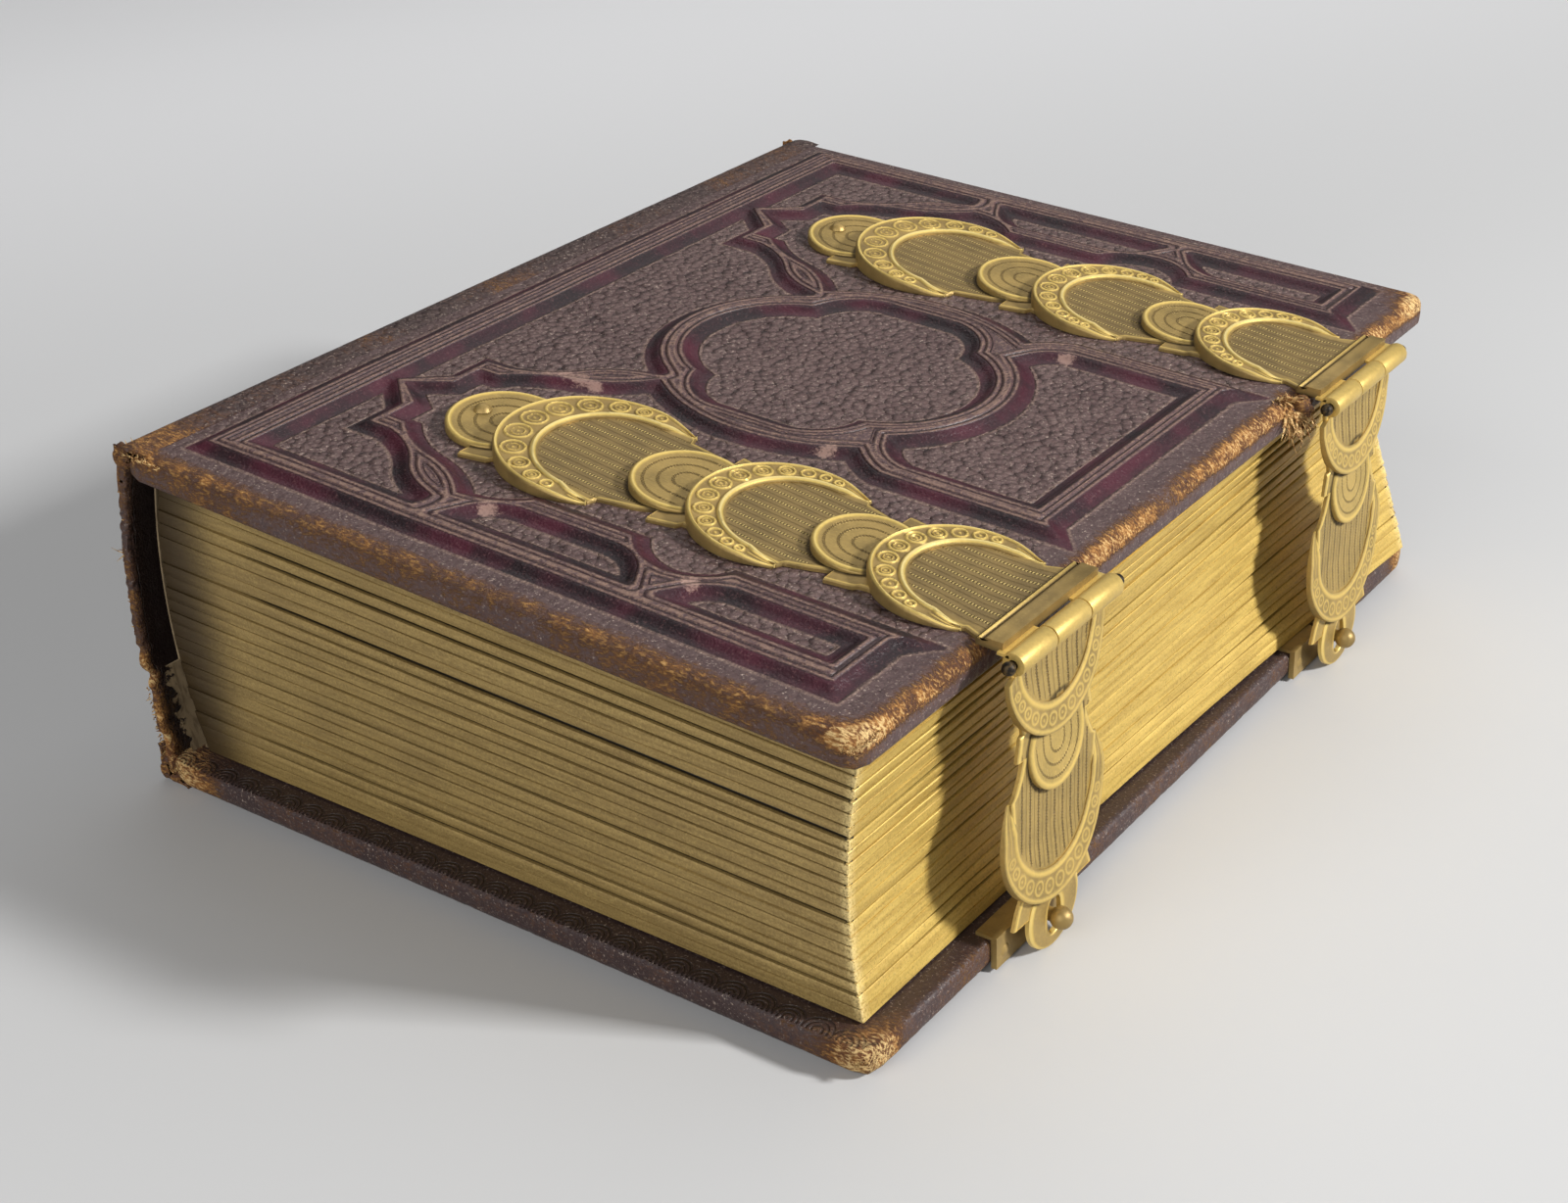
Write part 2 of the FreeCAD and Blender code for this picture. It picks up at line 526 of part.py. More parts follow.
def build():
    """All the pieces in the frame of the covers, by node name."""
    pieces = {}
    board, leather, lining = cover(FRONT_SPINE_EDGE)
    leather = leather.fuse(raised_pattern())
    holes = []
    strap_nails = []
    for y in CLASPS.values():
        x = KNUCKLE_X - STRAP_NAIL_AT
        holes.append(Part.makeCylinder(NAIL_SHANK_RADIUS + NAIL_HOLE_CLEARANCE, STRAP_NAIL_LENGTH + 1,
                                       Vector(x, y, -STRAP_NAIL_LENGTH), ALONG_Z))
        one = nail(STRAP_NAIL_HEAD, 0.9, STRAP_NAIL_LENGTH + STRAP_NAIL_SEAT)
        one.translate(Vector(x, y, STRAP_NAIL_SEAT))
        strap_nails.append(place_front(one))
    for hole in holes:
        board, leather = board.cut(hole), leather.cut(hole)
    pieces["front_board"] = place_front(one_solid(board))
    pieces["front_leather"] = place_front(one_solid(leather))
    pieces["front_pastedown"] = place_front(lining)
    pieces["strap_nails"] = Part.makeCompound(strap_nails)

    board, leather, lining = (place_back(shape) for shape in cover(BACK_SPINE_EDGE))
    catch_nails = []
    for y in CLASPS.values():
        for side in (-1, 1):
            place = Vector(FORE_EDGE, y + side * CATCH_NAIL_SPACING, CATCH_NAIL_LEVEL)
            start = place - ALONG_X * CATCH_NAIL_LENGTH
            hole_radius = NAIL_SHANK_RADIUS + NAIL_HOLE_CLEARANCE
            hole = Part.makeCylinder(hole_radius, CATCH_NAIL_LENGTH + 1, start, ALONG_X)
            board, leather = board.cut(hole), leather.cut(hole)
            one = nail(CATCH_NAIL_HEAD, CATCH_NAIL_PROUD, CATCH_NAIL_LENGTH - 0.2 + CATCH_THICKNESS)
            one.rotate(Vector(0, 0, 0), ALONG_Y, 90)
            one.translate(place + ALONG_X * CATCH_THICKNESS)
            catch_nails.append(one)
    pieces["back_board"] = one_solid(board)
    pieces["back_leather"] = one_solid(leather)
    pieces["back_pastedown"] = lining
    pieces["catch_nails"] = Part.makeCompound(catch_nails)

    block, back_centre, back_radius = page_block()
    pieces["page_block"] = block
    pieces["spine_leather"] = spine_leather(FRONT_JOINT, BACK_JOINT)
    top = on_front_cover(BLOCK_BACK, 0, -COVER_THICKNESS - BLOCK_GAP).z
    pieces["spine_lining"] = spine_lining(back_centre, back_radius, top)

    for name, y in CLASPS.items():
        flat = strap()
        flat.translate(Vector(KNUCKLE_X, y, 0))
        pieces[name + "_strap"] = place_front(flat)
        for part, shape in (("_hinge_pin", hinge_pin()), ("_hasp", hasp())):
            shape.translate(KNUCKLE_POINT + ALONG_Y * y)
            pieces[name + part] = shape
        pieces[name + "_catch_plate"] = catch_plate(y)
        pieces[name + "_stud"] = stud(y)
    return pieces


LEFTMOST = SPINE_CENTRE.x - SPINE_RADIUS
RIGHTMOST = FORE_EDGE + STUD_REACH + STUD_BALL_RADIUS
TO_ORIGIN = Vector(-(LEFTMOST + RIGHTMOST) / 2, -COVER_HEIGHT / 2, 0)

os.makedirs("parts", exist_ok=True)
for node, shape in build().items():
    shape.translate(TO_ORIGIN)
    shape.exportStep("parts/%s.step" % node)
    box_of = shape.BoundBox
    print("%-18s solids %d valid %s volume %.1f x %.1f..%.1f y %.1f..%.1f z %.1f..%.1f" % (
        node, len(shape.Solids), shape.isValid(), shape.Volume,
        box_of.XMin, box_of.XMax, box_of.YMin, box_of.YMax, box_of.ZMin, box_of.ZMax))
axes = {"front joint": FRONT_JOINT, "back joint": BACK_JOINT, "hasps": (KNUCKLE_POINT.x, KNUCKLE_POINT.z)}
for label, (x, z) in axes.items():
    print("%s at x %.3f z %.3f" % (label, x + TO_ORIGIN.x, z))
print("clasps at y", {name: round(y + TO_ORIGIN.y, 3) for name, y in CLASPS.items()}, "shift", TO_ORIGIN)
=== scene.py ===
# %% [markdown]
# # A leather portrait album with brass clasps
# The album lies closed on its back cover. Two boards in dark embossed leather hold a block of
# thick gilt leaves, a hollow leather back joins them, and two stamped brass clasps hinge over
# the fore-edge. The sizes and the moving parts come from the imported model. This file gives
# each visible piece its worn, stamped or grained surface.

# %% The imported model
import math
import bpy
import numpy as np
from mathutils import Matrix, Vector


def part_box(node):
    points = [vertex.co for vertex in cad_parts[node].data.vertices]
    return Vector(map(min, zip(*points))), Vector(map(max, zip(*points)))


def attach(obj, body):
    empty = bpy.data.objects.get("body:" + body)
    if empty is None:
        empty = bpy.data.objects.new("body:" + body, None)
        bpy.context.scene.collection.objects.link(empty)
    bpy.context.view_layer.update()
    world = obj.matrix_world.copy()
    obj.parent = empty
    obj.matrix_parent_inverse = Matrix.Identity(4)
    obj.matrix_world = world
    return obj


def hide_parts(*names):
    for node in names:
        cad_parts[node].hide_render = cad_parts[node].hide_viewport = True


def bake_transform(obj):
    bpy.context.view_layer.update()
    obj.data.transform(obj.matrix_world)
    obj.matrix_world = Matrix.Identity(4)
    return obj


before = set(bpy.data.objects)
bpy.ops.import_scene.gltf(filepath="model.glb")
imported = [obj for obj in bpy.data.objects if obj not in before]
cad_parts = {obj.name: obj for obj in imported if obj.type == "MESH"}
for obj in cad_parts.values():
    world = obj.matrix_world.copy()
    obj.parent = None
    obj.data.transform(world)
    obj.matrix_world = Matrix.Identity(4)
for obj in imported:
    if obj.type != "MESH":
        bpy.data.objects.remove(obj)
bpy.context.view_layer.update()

# %% [markdown]
# ## Places and sizes
# Everything is worked out in millimetres, with X from the spine, Y from the tail and Z up, and
# is moved to the model's own frame when a mesh is made. The front cover slopes down to the
# fore-edge, because the leaves are pressed thinner there, so its pieces are worked out flat
# and then turned by that wedge.

# %% Sizes in millimetres
MM = 0.001
HEIGHT = 152.0
FORE = 115.6                            # fore-edge of both covers
FRONT_LEFT, BACK_LEFT = -1.2, -4.0      # their edges at the spine
SPINE_TOP, FORE_TOP = 53.1, 46.3        # top of the front cover at either edge
THICK = 4.6                             # of a cover
MIDDLE = 76.6                           # of the pressed pattern, from the tail
CLASP_AXES = {"tail": 35.1, "head": 118.1}
WEDGE = math.atan((SPINE_TOP - FORE_TOP) / FORE)

corner_low, corner_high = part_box("back_leather")
ALBUM_CORNER = np.array([corner_high[0] / MM - FORE, corner_low[1] / MM, 0.0])
print("album corner in the model's frame (mm):", ALBUM_CORNER.round(2))


def on_front(points):
    """Flat front cover points, with Z 0 on the outer face, turned by the wedge and lifted:
    x' = x cos w + z sin w, z' = top - x sin w + z cos w."""
    points = np.asarray(points, float)
    x, y, z = points[..., 0], points[..., 1], points[..., 2]
    c, s = math.cos(WEDGE), math.sin(WEDGE)
    return np.stack([x * c + z * s, y, SPINE_TOP - x * s + z * c], -1)


def on_back(points):
    """Flat cover points turned over, so that the outer face lies on the table."""
    points = np.asarray(points, float)
    return np.stack([points[..., 0], points[..., 1], -points[..., 2]], -1)


HINGE_OUT, HINGE_DROP = 4.6, 0.5
HINGE = on_front([FORE + HINGE_OUT, 0.0, -HINGE_DROP])
print("clasp hinge at", HINGE.round(2))

# %% [markdown]
# ## Meshes from arrays
# A piece is a pile of patches. Each patch is an array of points on a grid, and its faces join
# neighbours. A patch can close on itself like a tube, and its ends can be capped. Marks are
# numbers kept at each point, such as how worn the leather is, which the materials read.

# %% Random fields and rounded steps
def cloud(x, y, size, seed):
    """Smooth random field between -1 and 1: seeded numbers on a lattice of the given cell
    size, blended with the weights t t (3 - 2 t)."""
    table = np.random.default_rng(seed).uniform(-1, 1, (64, 64))
    gx, gy = np.asarray(x) / size, np.asarray(y) / size
    ix, iy = np.floor(gx).astype(int), np.floor(gy).astype(int)
    fx, fy = gx - ix, gy - iy
    fx, fy = fx * fx * (3 - 2 * fx), fy * fy * (3 - 2 * fy)
    a, b = table[ix % 64, iy % 64], table[(ix + 1) % 64, iy % 64]
    c, d = table[ix % 64, (iy + 1) % 64], table[(ix + 1) % 64, (iy + 1) % 64]
    return (a * (1 - fx) + b * fx) * (1 - fy) + (c * (1 - fx) + d * fx) * fy


def step(value, low, high):
    """0 below low, 1 above high, and t t (3 - 2 t) between."""
    t = np.clip((np.asarray(value, float) - low) / (high - low), 0, 1)
    return t * t * (3 - 2 * t)


def bump(value, half_width):
    """Rounded ridge: cos squared of a quarter turn, 1 in the middle and 0 past the half width."""
    return np.cos(np.clip(np.asarray(value, float) / half_width, -1, 1) * math.pi / 2) ** 2


print("a field between", cloud(np.arange(99), 0, 3, 1).min().round(2),
      "and", cloud(np.arange(99), 0, 3, 1).max().round(2))


# %% Building a mesh
class Pile:
    """Patches of one piece: their points, their faces and the marks at the points."""

    def __init__(self, marks=()):
        self.marks = {name: [] for name in marks}
        self.points, self.faces, self.count = [], [], 0

    def add(self, points, marks):
        """Adds points in millimetres and returns their numbers, in the same layout."""
        points = np.asarray(points, float)
        numbers = self.count + np.arange(points[..., 0].size).reshape(points.shape[:-1])
        self.count += numbers.size
        self.points.append(points.reshape(-1, 3))
        for name, store in self.marks.items():
            value = np.broadcast_to(marks.get(name, 0.0), points.shape[:-1])
            store.append(np.asarray(value, float).reshape(-1))
        return numbers

    def join(self, first, second, around=True):
        """Quads between two lines of points. The lines may close on themselves."""
        a, b = np.asarray(first), np.asarray(second)
        if around:
            a, b = np.append(a, a[0]), np.append(b, b[0])
        self.faces.append(np.stack([a[:-1], a[1:], b[1:], b[:-1]], -1))

    def sheet(self, numbers):
        """Quads over an open grid of points."""
        for first, second in zip(numbers, numbers[1:]):
            self.join(first, second, around=False)

    def close(self, loop):
        """Cap: a fan from the middle of a loop of points."""
        every = np.concatenate(self.points)
        middle = self.add(every[loop].mean(0)[None], {
            name: np.concatenate(store)[loop].mean() for name, store in self.marks.items()})
        self.faces.append(np.stack([loop, np.roll(loop, -1), np.full(len(loop), middle[0])], -1))

    def tube(self, rings, marks, around=False, caps=True):
        """Closed rings of points joined one after another, and capped or joined end to end.
        The patch is turned right side out by the sign of its volume."""
        start = len(self.faces)
        numbers = self.add(rings, marks)
        for first, second in zip(numbers, numbers[1:]):
            self.join(first, second)
        if around:
            self.join(numbers[-1], numbers[0])
        elif caps:
            self.close(numbers[0][::-1])
            self.close(numbers[-1])
        self.turn_out(start)

    def turn_out(self, start):
        """Reverses the faces made since start if they enclose a negative volume, which is the
        sum of a . (b x c) / 6 over their triangles."""
        every = np.concatenate(self.points)
        volume = 0.0
        for block in self.faces[start:]:
            for k in range(1, block.shape[1] - 1):
                a, b, c = every[block[:, 0]], every[block[:, k]], every[block[:, k + 1]]
                volume += np.einsum("ij,ij->", a, np.cross(b, c))
        if volume < 0:
            self.faces[start:] = [block[:, ::-1] for block in self.faces[start:]]

    def finish(self, name, body, nodes, material, slot, sharp=45.0):
        """The pile as one Blender object in metres, which rides on a body and stands for CAD
        nodes."""
        points = (np.concatenate(self.points) + ALBUM_CORNER) * MM
        sizes = np.concatenate([np.full(len(b), b.shape[1]) for b in self.faces])
        corners = np.concatenate([b.reshape(-1) for b in self.faces])
        mesh = bpy.data.meshes.new(name)
        mesh.vertices.add(len(points))
        mesh.vertices.foreach_set("co", points.astype(np.float32).reshape(-1))
        mesh.loops.add(len(corners))
        mesh.loops.foreach_set("vertex_index", corners.astype(np.int32))
        mesh.polygons.add(len(sizes))
        mesh.polygons.foreach_set("loop_start", (np.cumsum(sizes) - sizes).astype(np.int32))
        mesh.update(calc_edges=True)
        mesh.validate()
        for mark, store in self.marks.items():
            layer = mesh.attributes.new(mark, "FLOAT", "POINT")
            layer.data.foreach_set("value", np.concatenate(store).astype(np.float32))
        mesh.polygons.foreach_set("use_smooth", np.ones(len(sizes), bool))
        mesh.set_sharp_from_angle(angle=math.radians(sharp))
        mesh.materials.append(material)
        piece = bpy.data.objects.new(name, mesh)
        bpy.context.scene.collection.objects.link(piece)
        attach(piece, body) if isinstance(body, str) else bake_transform(piece)
        if nodes:
            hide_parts(*nodes)
        print("%-22s %6d triangles" % (name, (sizes - 2).sum()))
        return piece


print("a Pile takes patches in millimetres and makes one object of them")


# %% [markdown]
# ## Shader maths
# A material is written as sums. A Value wraps one socket, and Python's operators add Math
# nodes. A Finish is a material in the making, and its node() makes any other node.

# %% Values
class Value:
    """One socket of a material, with the operators of arithmetic."""

    def __init__(self, finish, socket):
        self.finish, self.socket = finish, socket

    def __add__(self, other):
        return self.finish.math("ADD", self, other)

    def __sub__(self, other):
        return self.finish.math("SUBTRACT", self, other)

    def __rsub__(self, other):
        return self.finish.math("SUBTRACT", other, self)

    def __mul__(self, other):
        return self.finish.math("MULTIPLY", self, other)

    def __truediv__(self, other):
        return self.finish.math("DIVIDE", self, other)

    def __rtruediv__(self, other):
        return self.finish.math("DIVIDE", other, self)

    def __pow__(self, other):
        return self.finish.math("POWER", self, other)

    __radd__ = __add__
    __rmul__ = __mul__

    def step(self, low, high):
        """Smooth step from 0 at low to 1 at high."""
        return self.finish.node("ShaderNodeMapRange", {"interpolation_type": "SMOOTHSTEP"}, {
            "Value": self, "From Min": low, "From Max": high})

    def line(self, half_width):
        """1 on each whole number of this value, fading to 0 at the half width."""
        near = self.finish.math("ABSOLUTE", self - self.finish.math("ROUND", self))
        return near.step(half_width, half_width * 0.35)


print("a Value makes a Math node of each +, -, *, / and **")


# %% Finishes
class Finish:
    """A material in the making, on the Principled shader."""

    def __init__(self, name, **settings):
        self.material = bpy.data.materials.new(name)
        self.material.use_nodes = True
        self.tree = self.material.node_tree
        self.shader = self.tree.nodes["Principled BSDF"]
        for socket, value in settings.items():
            self.shader.inputs[socket.replace("_", " ")].default_value = value
        place = self.node("ShaderNodeTexCoord", out="Object")
        self.place = self.vector("SCALE", {0: place, "Scale": 1.0 / MM})

    def node(self, kind, settings=None, inputs=None, out=0):
        """Makes a node, sets it up, then fills or links its sockets, and gives one output."""
        made = self.tree.nodes.new(kind)
        for name, value in (settings or {}).items():
            setattr(made, name, value)
        for name, value in (inputs or {}).items():
            if isinstance(value, Value):
                self.tree.links.new(value.socket, made.inputs[name])
            else:
                made.inputs[name].default_value = value
        return Value(self, made.outputs[out])

    def math(self, operation, *values):
        """A Math node on values or numbers."""
        return self.node("ShaderNodeMath", {"operation": operation}, dict(enumerate(values)))

    def vector(self, operation, inputs, out=0):
        """A Vector Math node."""
        return self.node("ShaderNodeVectorMath", {"operation": operation}, inputs, out)

    def axis(self, index):
        """X, Y or Z in millimetres."""
        return self.node("ShaderNodeSeparateXYZ", {}, {0: self.place}, out=index)

    def mark(self, name):
        """A mark that was kept at the points of the mesh."""
        return self.node("ShaderNodeAttribute", {"attribute_name": name}, out="Fac")

    def noise(self, size, detail=3.0, stretch=None, rough=0.5):
        """Noise whose lumps are about size millimetres. A stretch is a scale along X, Y and Z."""
        place = self.place
        if stretch:
            place = self.vector("MULTIPLY", {0: place, 1: stretch})
        return self.node("ShaderNodeTexNoise", {}, {
            "Vector": place, "Scale": 1.0 / size, "Detail": detail, "Roughness": rough}, out="Fac")

    def cells(self, size):
        """Distance to the middle of the nearest of scattered cells."""
        return self.node("ShaderNodeTexVoronoi", {}, {
            "Vector": self.place, "Scale": 1.0 / size}, out="Distance")

    def mix(self, share, first, second):
        """Colour between two colours, each a value or what paint() takes. Of the Mix node's many
        sockets, 6, 7 and output 2 are the ones for colours."""
        first, second = (c if isinstance(c, Value) else paint(c) for c in (first, second))
        return self.node("ShaderNodeMix", {"data_type": "RGBA"}, {0: share, 6: first, 7: second}, out=2)

    def coats(self, colour, *layers):
        """Coats of paint over a colour, each given as the share that it covers and its colour."""
        for share, coat in layers:
            colour = self.mix(share, colour, coat)
        return colour

    def set(self, **sockets):
        """Links values to the shader's own sockets."""
        for name, value in sockets.items():
            self.tree.links.new(value.socket, self.shader.inputs[name.replace("_", " ")])
        return self.material

    def relief(self, height):
        """A height in millimetres as a bump."""
        return self.node("ShaderNodeBump", {}, {
            "Height": height, "Distance": MM, "Strength": 1.0}, out="Normal")


def paint(colour):
    """Three numbers are a colour as the screen shows it, from 0 to 255, and are made linear for
    the shader: ((v / 255 + 0.055) / 1.055) to the power 2.4. Four are linear already."""
    if len(colour) == 4:
        return colour
    return tuple(((v / 255 + 0.055) / 1.055) ** 2.4 for v in colour) + (1.0,)


print("middle grey on the screen is linear", round(paint((128, 128, 128))[0], 3))


# %% [markdown]
# ## Leather
# The skin is goat leather, dyed dark aubergine. Where it was not pressed it keeps its pebbled
# grain, and where the hot plate pressed it, it is smooth, darker and glossier. It could be
# painted from one noise, but the parts wear differently, so marks tell the material where it
# is: how far it is from the foot of a moulding, and how far it is worn through to the tan
# fibres. Fine tooled lines follow the mouldings as lines of equal distance from their foot.

# %% Pressed and worn leather
CORDS_FROM, CORD_PERIOD = 2.0, 0.95
TOOLED_SHADES = (74, 52, 51), (108, 86, 82), (124, 103, 98)
# The plain leather of the back cover, the back, the joints and the fibres is the same skin, painted
# darker than the tooled front, as painted shade.
SHADED_PLAIN_TONES = (51, 35, 33), (72, 54, 49), (85, 67, 61)


def tooling(finish, swirl, fine, broad, dust):
    """What the hot plate left, told apart by the distance from the foot of the mouldings: the
    bevel, the crest, and fine cords on it, as the size of a sine. Gives the pressed share and
    its colour, the share of a paler lip at the foot, and the height of the cords."""
    foot = finish.mark("foot")
    corded = foot.step(2.0, 2.2) * (1.0 - foot.step(4.0, 4.3))
    wave = finish.math("SINE", (foot - CORDS_FROM) * (math.pi / CORD_PERIOD))
    rod = finish.math("ABSOLUTE", wave)
    groove = (1.0 - rod.step(0.0, 0.55)) * corded
    ridge = rod.step(0.76, 0.96) * corded * swirl.step(0.38, 0.56)
    # the rub mark and the noise make pale patches on the bevels: partly rubbed leather, partly painted
    # highlights
    rub_and_highlight = finish.mark("rub_and_highlight") * 1.5 + (dust - 0.5) * 2.2 + (swirl - 0.5) * 1.4 - 0.6
    cord = finish.coats(
        finish.mix(fine.step(0.35, 0.75), (76, 55, 57), (108, 84, 82)),
        (dust.step(0.50, 0.64) * 0.6, (170, 138, 116)))
    smooth = finish.coats(
        finish.mix(broad.step(0.35, 0.7), (26, 9, 15), (70, 20, 36)),
        (dust.step(0.54, 0.66) * 0.4, (122, 84, 84)),
        (foot.step(2.0, 2.3) * 0.9, cord),
        # painted shade: the grooves between the cords are painted dark
        (groove * 0.75, (38, 22, 26)),
        (ridge * 0.42, (160, 128, 108)),
        (rub_and_highlight.step(0.0, 0.7) * 0.6, (176, 142, 128)))
    lip = foot.step(-0.6, -0.35) * (1.0 - foot.step(-0.1, 0.15))
    return foot.step(-0.2, 0.1), smooth, lip * dust.step(0.35, 0.6), rod * corded


def curl_row(finish, inner):
    """A row of curls tooled inside the tail edge of the back cover: X is wrapped every 4.2 mm,
    and rings 0.7 mm apart are drawn round each middle, on the turn-in only."""
    aside = finish.math("WRAP", finish.axis(0), 2.1, -2.1)
    away = finish.math("SQRT", aside * aside + (finish.axis(1) + 75.3) ** 2.0)
    return (away / 0.7).line(0.3) * away.step(2.6, 2.3) * inner.step(0.2, 0.3) * inner.step(0.45, 0.4)


def worn_leather(finish):
    """Leather rubbed through: the worn mark is broken up by noise, and gives the share where
    the dye is thin, the share that is bare, the colour of the bare fibres and their noise."""
    fray = finish.noise(0.42, 5.0, stretch=(0.45, 1.25, 1.0), rough=0.62)
    patch = finish.noise(2.6, 4.0)
    worn = finish.mark("worn") * 1.5 + (fray - 0.5) * 2.0 + (patch - 0.5) * 0.9 - 0.42
    fibre = finish.coats(
        finish.mix(patch.step(0.38, 0.62), (124, 76, 38), (176, 120, 60)),
        (fray.step(0.5, 0.62) * 0.55, (214, 164, 96)),
        (worn.step(0.9, 1.6) * fray.step(0.40, 0.60) * 0.95, (242, 206, 142)),
        ((1.0 - fray.step(0.36, 0.46)) * 0.55, (84, 52, 34)))
    return worn.step(-0.1, 0.45), worn.step(0.25, 1.0), fibre, fray


print("cords every", CORD_PERIOD, "mm from", CORDS_FROM, "mm up the moulding")


# %% Leather finish
def leather(name, tooled):
    """Grained leather. Domes of 1.15 mm make the pebbles, and the creases between them are painted a
    little darker, as painted shade. The pressed, worn and tooled parts are coats over this ground."""
    finish = Finish(name, Specular_IOR_Level=0.5)
    swirl = finish.noise(1.3, 4.0)
    dome = 1.0 - (finish.cells(1.15) * 1.35 + (swirl - 0.5) * 0.7) ** 2.0
    fine = finish.noise(0.35, 3.0)
    broad = finish.noise(9.0, 4.0)
    dust = finish.noise(0.42, 5.0, rough=0.75)
    margin, inner = finish.mark("margin"), finish.mark("inner")
    pebbled = 1.0 - margin * 0.7
    deep, middle, light = TOOLED_SHADES if tooled else SHADED_PLAIN_TONES
    ground = finish.coats(
        finish.mix((broad - 0.5) * 1.6 + 0.5, deep, middle),
        ((swirl - 0.4) * 1.5, light),
        # painted shade: the creases between the pebbles are darkened
        ((0.9 - dome) * pebbled * 0.45, (48, 31, 32)),
        (margin * 0.42, (60, 42, 44)),
        ((0.47 - fine) * 3.0, (54, 35, 39)),
        (dust.step(0.57, 0.66) * 0.7, (200, 180, 164)))
    pressed, cords, curls = 0.0, 0.0, 0.0
    if tooled:
        pressed, smooth, lip, cords = tooling(finish, swirl, fine, broad, dust)
        ground = finish.coats(ground, (pressed, smooth), (lip * 0.5, (150, 124, 108)))
    else:
        curls = curl_row(finish, inner)
    thin, bare, fibre, fray = worn_leather(finish)
    # painted shade: where the inner mark is high the leather is painted near black
    colour = finish.coats(
        ground, (thin * 0.8, (92, 60, 42)), (bare, fibre), (inner, (36, 26, 22)),
        (curls * 0.45, (26, 17, 16)))
    rough = 0.46 + bare * 0.4 - pressed * 0.06 + dust * 0.08
    grain = dome * (0.3 if tooled else 0.18) + swirl * 0.26
    height = (1.0 - pressed) * (1.0 - inner) * grain * pebbled + fine * 0.12
    height = height + cords * 0.3 + fray * bare * 0.55 - curls * 0.3
    return finish.set(Base_Color=colour, Roughness=rough, Normal=finish.relief(height))


TOOLED_LEATHER = leather("tooled leather", True)
SHADED_PLAIN_LEATHER = leather("shaded grained leather", False)
print("leather finishes made")

# %% [markdown]
# ## The embossed pattern
# The front cover was pressed between a hot plate and its counter. Raised mouldings run round
# a frame, two channels for the clasps, and sunk panels. The mouldings could be swept along
# curves, but where they meet they flow into each other. Height as a function of the distance
# to the nearest low ground gives that for nothing: it rises over the bevel, and stays level.

# %% Outlines of the low ground
def arc_line(points, closed=True):
    """Polygon from (x, y, rise) points. A side with a rise is an arc, whose middle stands that
    far to the left of the straight line to the next point."""
    ends = points[1:] + points[:1] if closed else points[1:]
    run = []
    for (x0, y0, rise), (x1, y1, _) in zip(points, ends):
        start, end = complex(x0, y0), complex(x1, y1)
        chord = end - start
        if rise == 0:
            run.append(start)
            continue
        half = abs(chord) / 2
        radius = (half * half + rise * rise) / (2 * rise)
        centre = (start + end) / 2 + 1j * chord / abs(chord) * (rise - radius)
        sweep = -2 * math.copysign(math.acos(np.clip(1 - abs(rise) / abs(radius), -1, 1)), rise)
        count = max(6, int(abs(sweep) * abs(radius) / 0.5))
        turns = np.arange(count) / count
        run.extend(centre + (start - centre) * np.exp(1j * sweep * turns))
    return np.array(run)


def across(points):
    """The same outline on the head half of the cover, in the same turning sense."""
    flipped = [(x, 2 * MIDDLE - y, rise) for x, y, rise in points]
    turned = flipped[::-1]
    rises = [r for _, _, r in turned]
    return [(x, y, rises[(i + 1) % len(rises)]) for i, (x, y, _) in enumerate(turned)]


CHANNEL = [
    (124, 21.8, 0), (83, 21.8, 1.1), (77, 17.6, 1.1), (70, 22, 0), (52, 22, 0.9),
    (44.8, 17.8, -0.8), (34.5, 23.3, 0.8), (25.5, 28.7, 0), (23.5, 28.7, 0), (23.5, 32.8, 0),
    (19.5, 35.6, 0), (23.5, 38.4, 0), (23.5, 42.5, 0), (25.5, 42.5, 0.8), (34.5, 47.9, -0.8),
    (43.8, 54.2, -5.0), (77, 53.2, -0.4), (83, 49.6, 0), (124, 49.6, 0)]
CORNER_PANEL = [
    (14.5, 12.2, 0), (38.5, 12.2, 0.5), (31.8, 16.6, -0.7), (24, 21.8, 0), (18.3, 21.8, 0),
    (18.3, 29.2, 0), (14.5, 32.6, 0)]
SMALL_PANEL = [(49, 12.2, 0), (73, 12.2, -0.8), (68, 15.2, 0), (53.5, 15.2, -0.8)]
LAST_PANEL = [(83, 12.2, 0), (103, 12.2, 0), (103, 15, 0), (87, 15, -0.5)]
SPINE_PANEL = [
    (14.5, 38.6, 0), (18.3, 42, 0), (18.3, 49.4, 0), (24, 49.4, -0.7), (31.5, 54.3, 0.7),
    (39.5, 59.5, 8.6), (39.5, 93.7, 0.7), (31.5, 98.9, -0.7), (24, 103.8, 0), (18.3, 103.8, 0),
    (18.3, 111.2, 0), (14.5, 114.6, 0)]
MEDALLION = [
    (47.4, 64.2, -1.6), (53.5, 57.2, 0), (65.5, 57.2, -1.6), (71.6, 64.2, -9.1),
    (71.6, 89, -1.6), (65.5, 96, 0), (53.5, 96, -1.6), (47.4, 89, -9.1)]
FORE_PANEL = [
    (85, 57.2, 0), (102.6, 57.2, 0), (102.6, 96, 0), (85, 96, -0.6), (81, 92.6, 7.1),
    (81, 60.6, -0.6)]
HALF_FRAME = [
    (5.8, 4.9, 0), (109.4, 4.9, 0), (109.4, 17.5, 0), (113.2, 21.9, 0), (113.2, 49.5, 0),
    (109.4, 54, 0)]
FRAME = arc_line(HALF_FRAME + [(x, 2 * MIDDLE - y, 0) for x, y, _ in HALF_FRAME[::-1]])
TAIL_HALF = [CHANNEL, CORNER_PANEL, SMALL_PANEL, LAST_PANEL]
SUNK = [arc_line(p) for p in TAIL_HALF] + [arc_line(across(p)) for p in TAIL_HALF]
SUNK += [arc_line(p) for p in (SPINE_PANEL, MEDALLION, FORE_PANEL)]
print(len(SUNK), "sunk outlines and a frame of", len(FRAME), "sides")


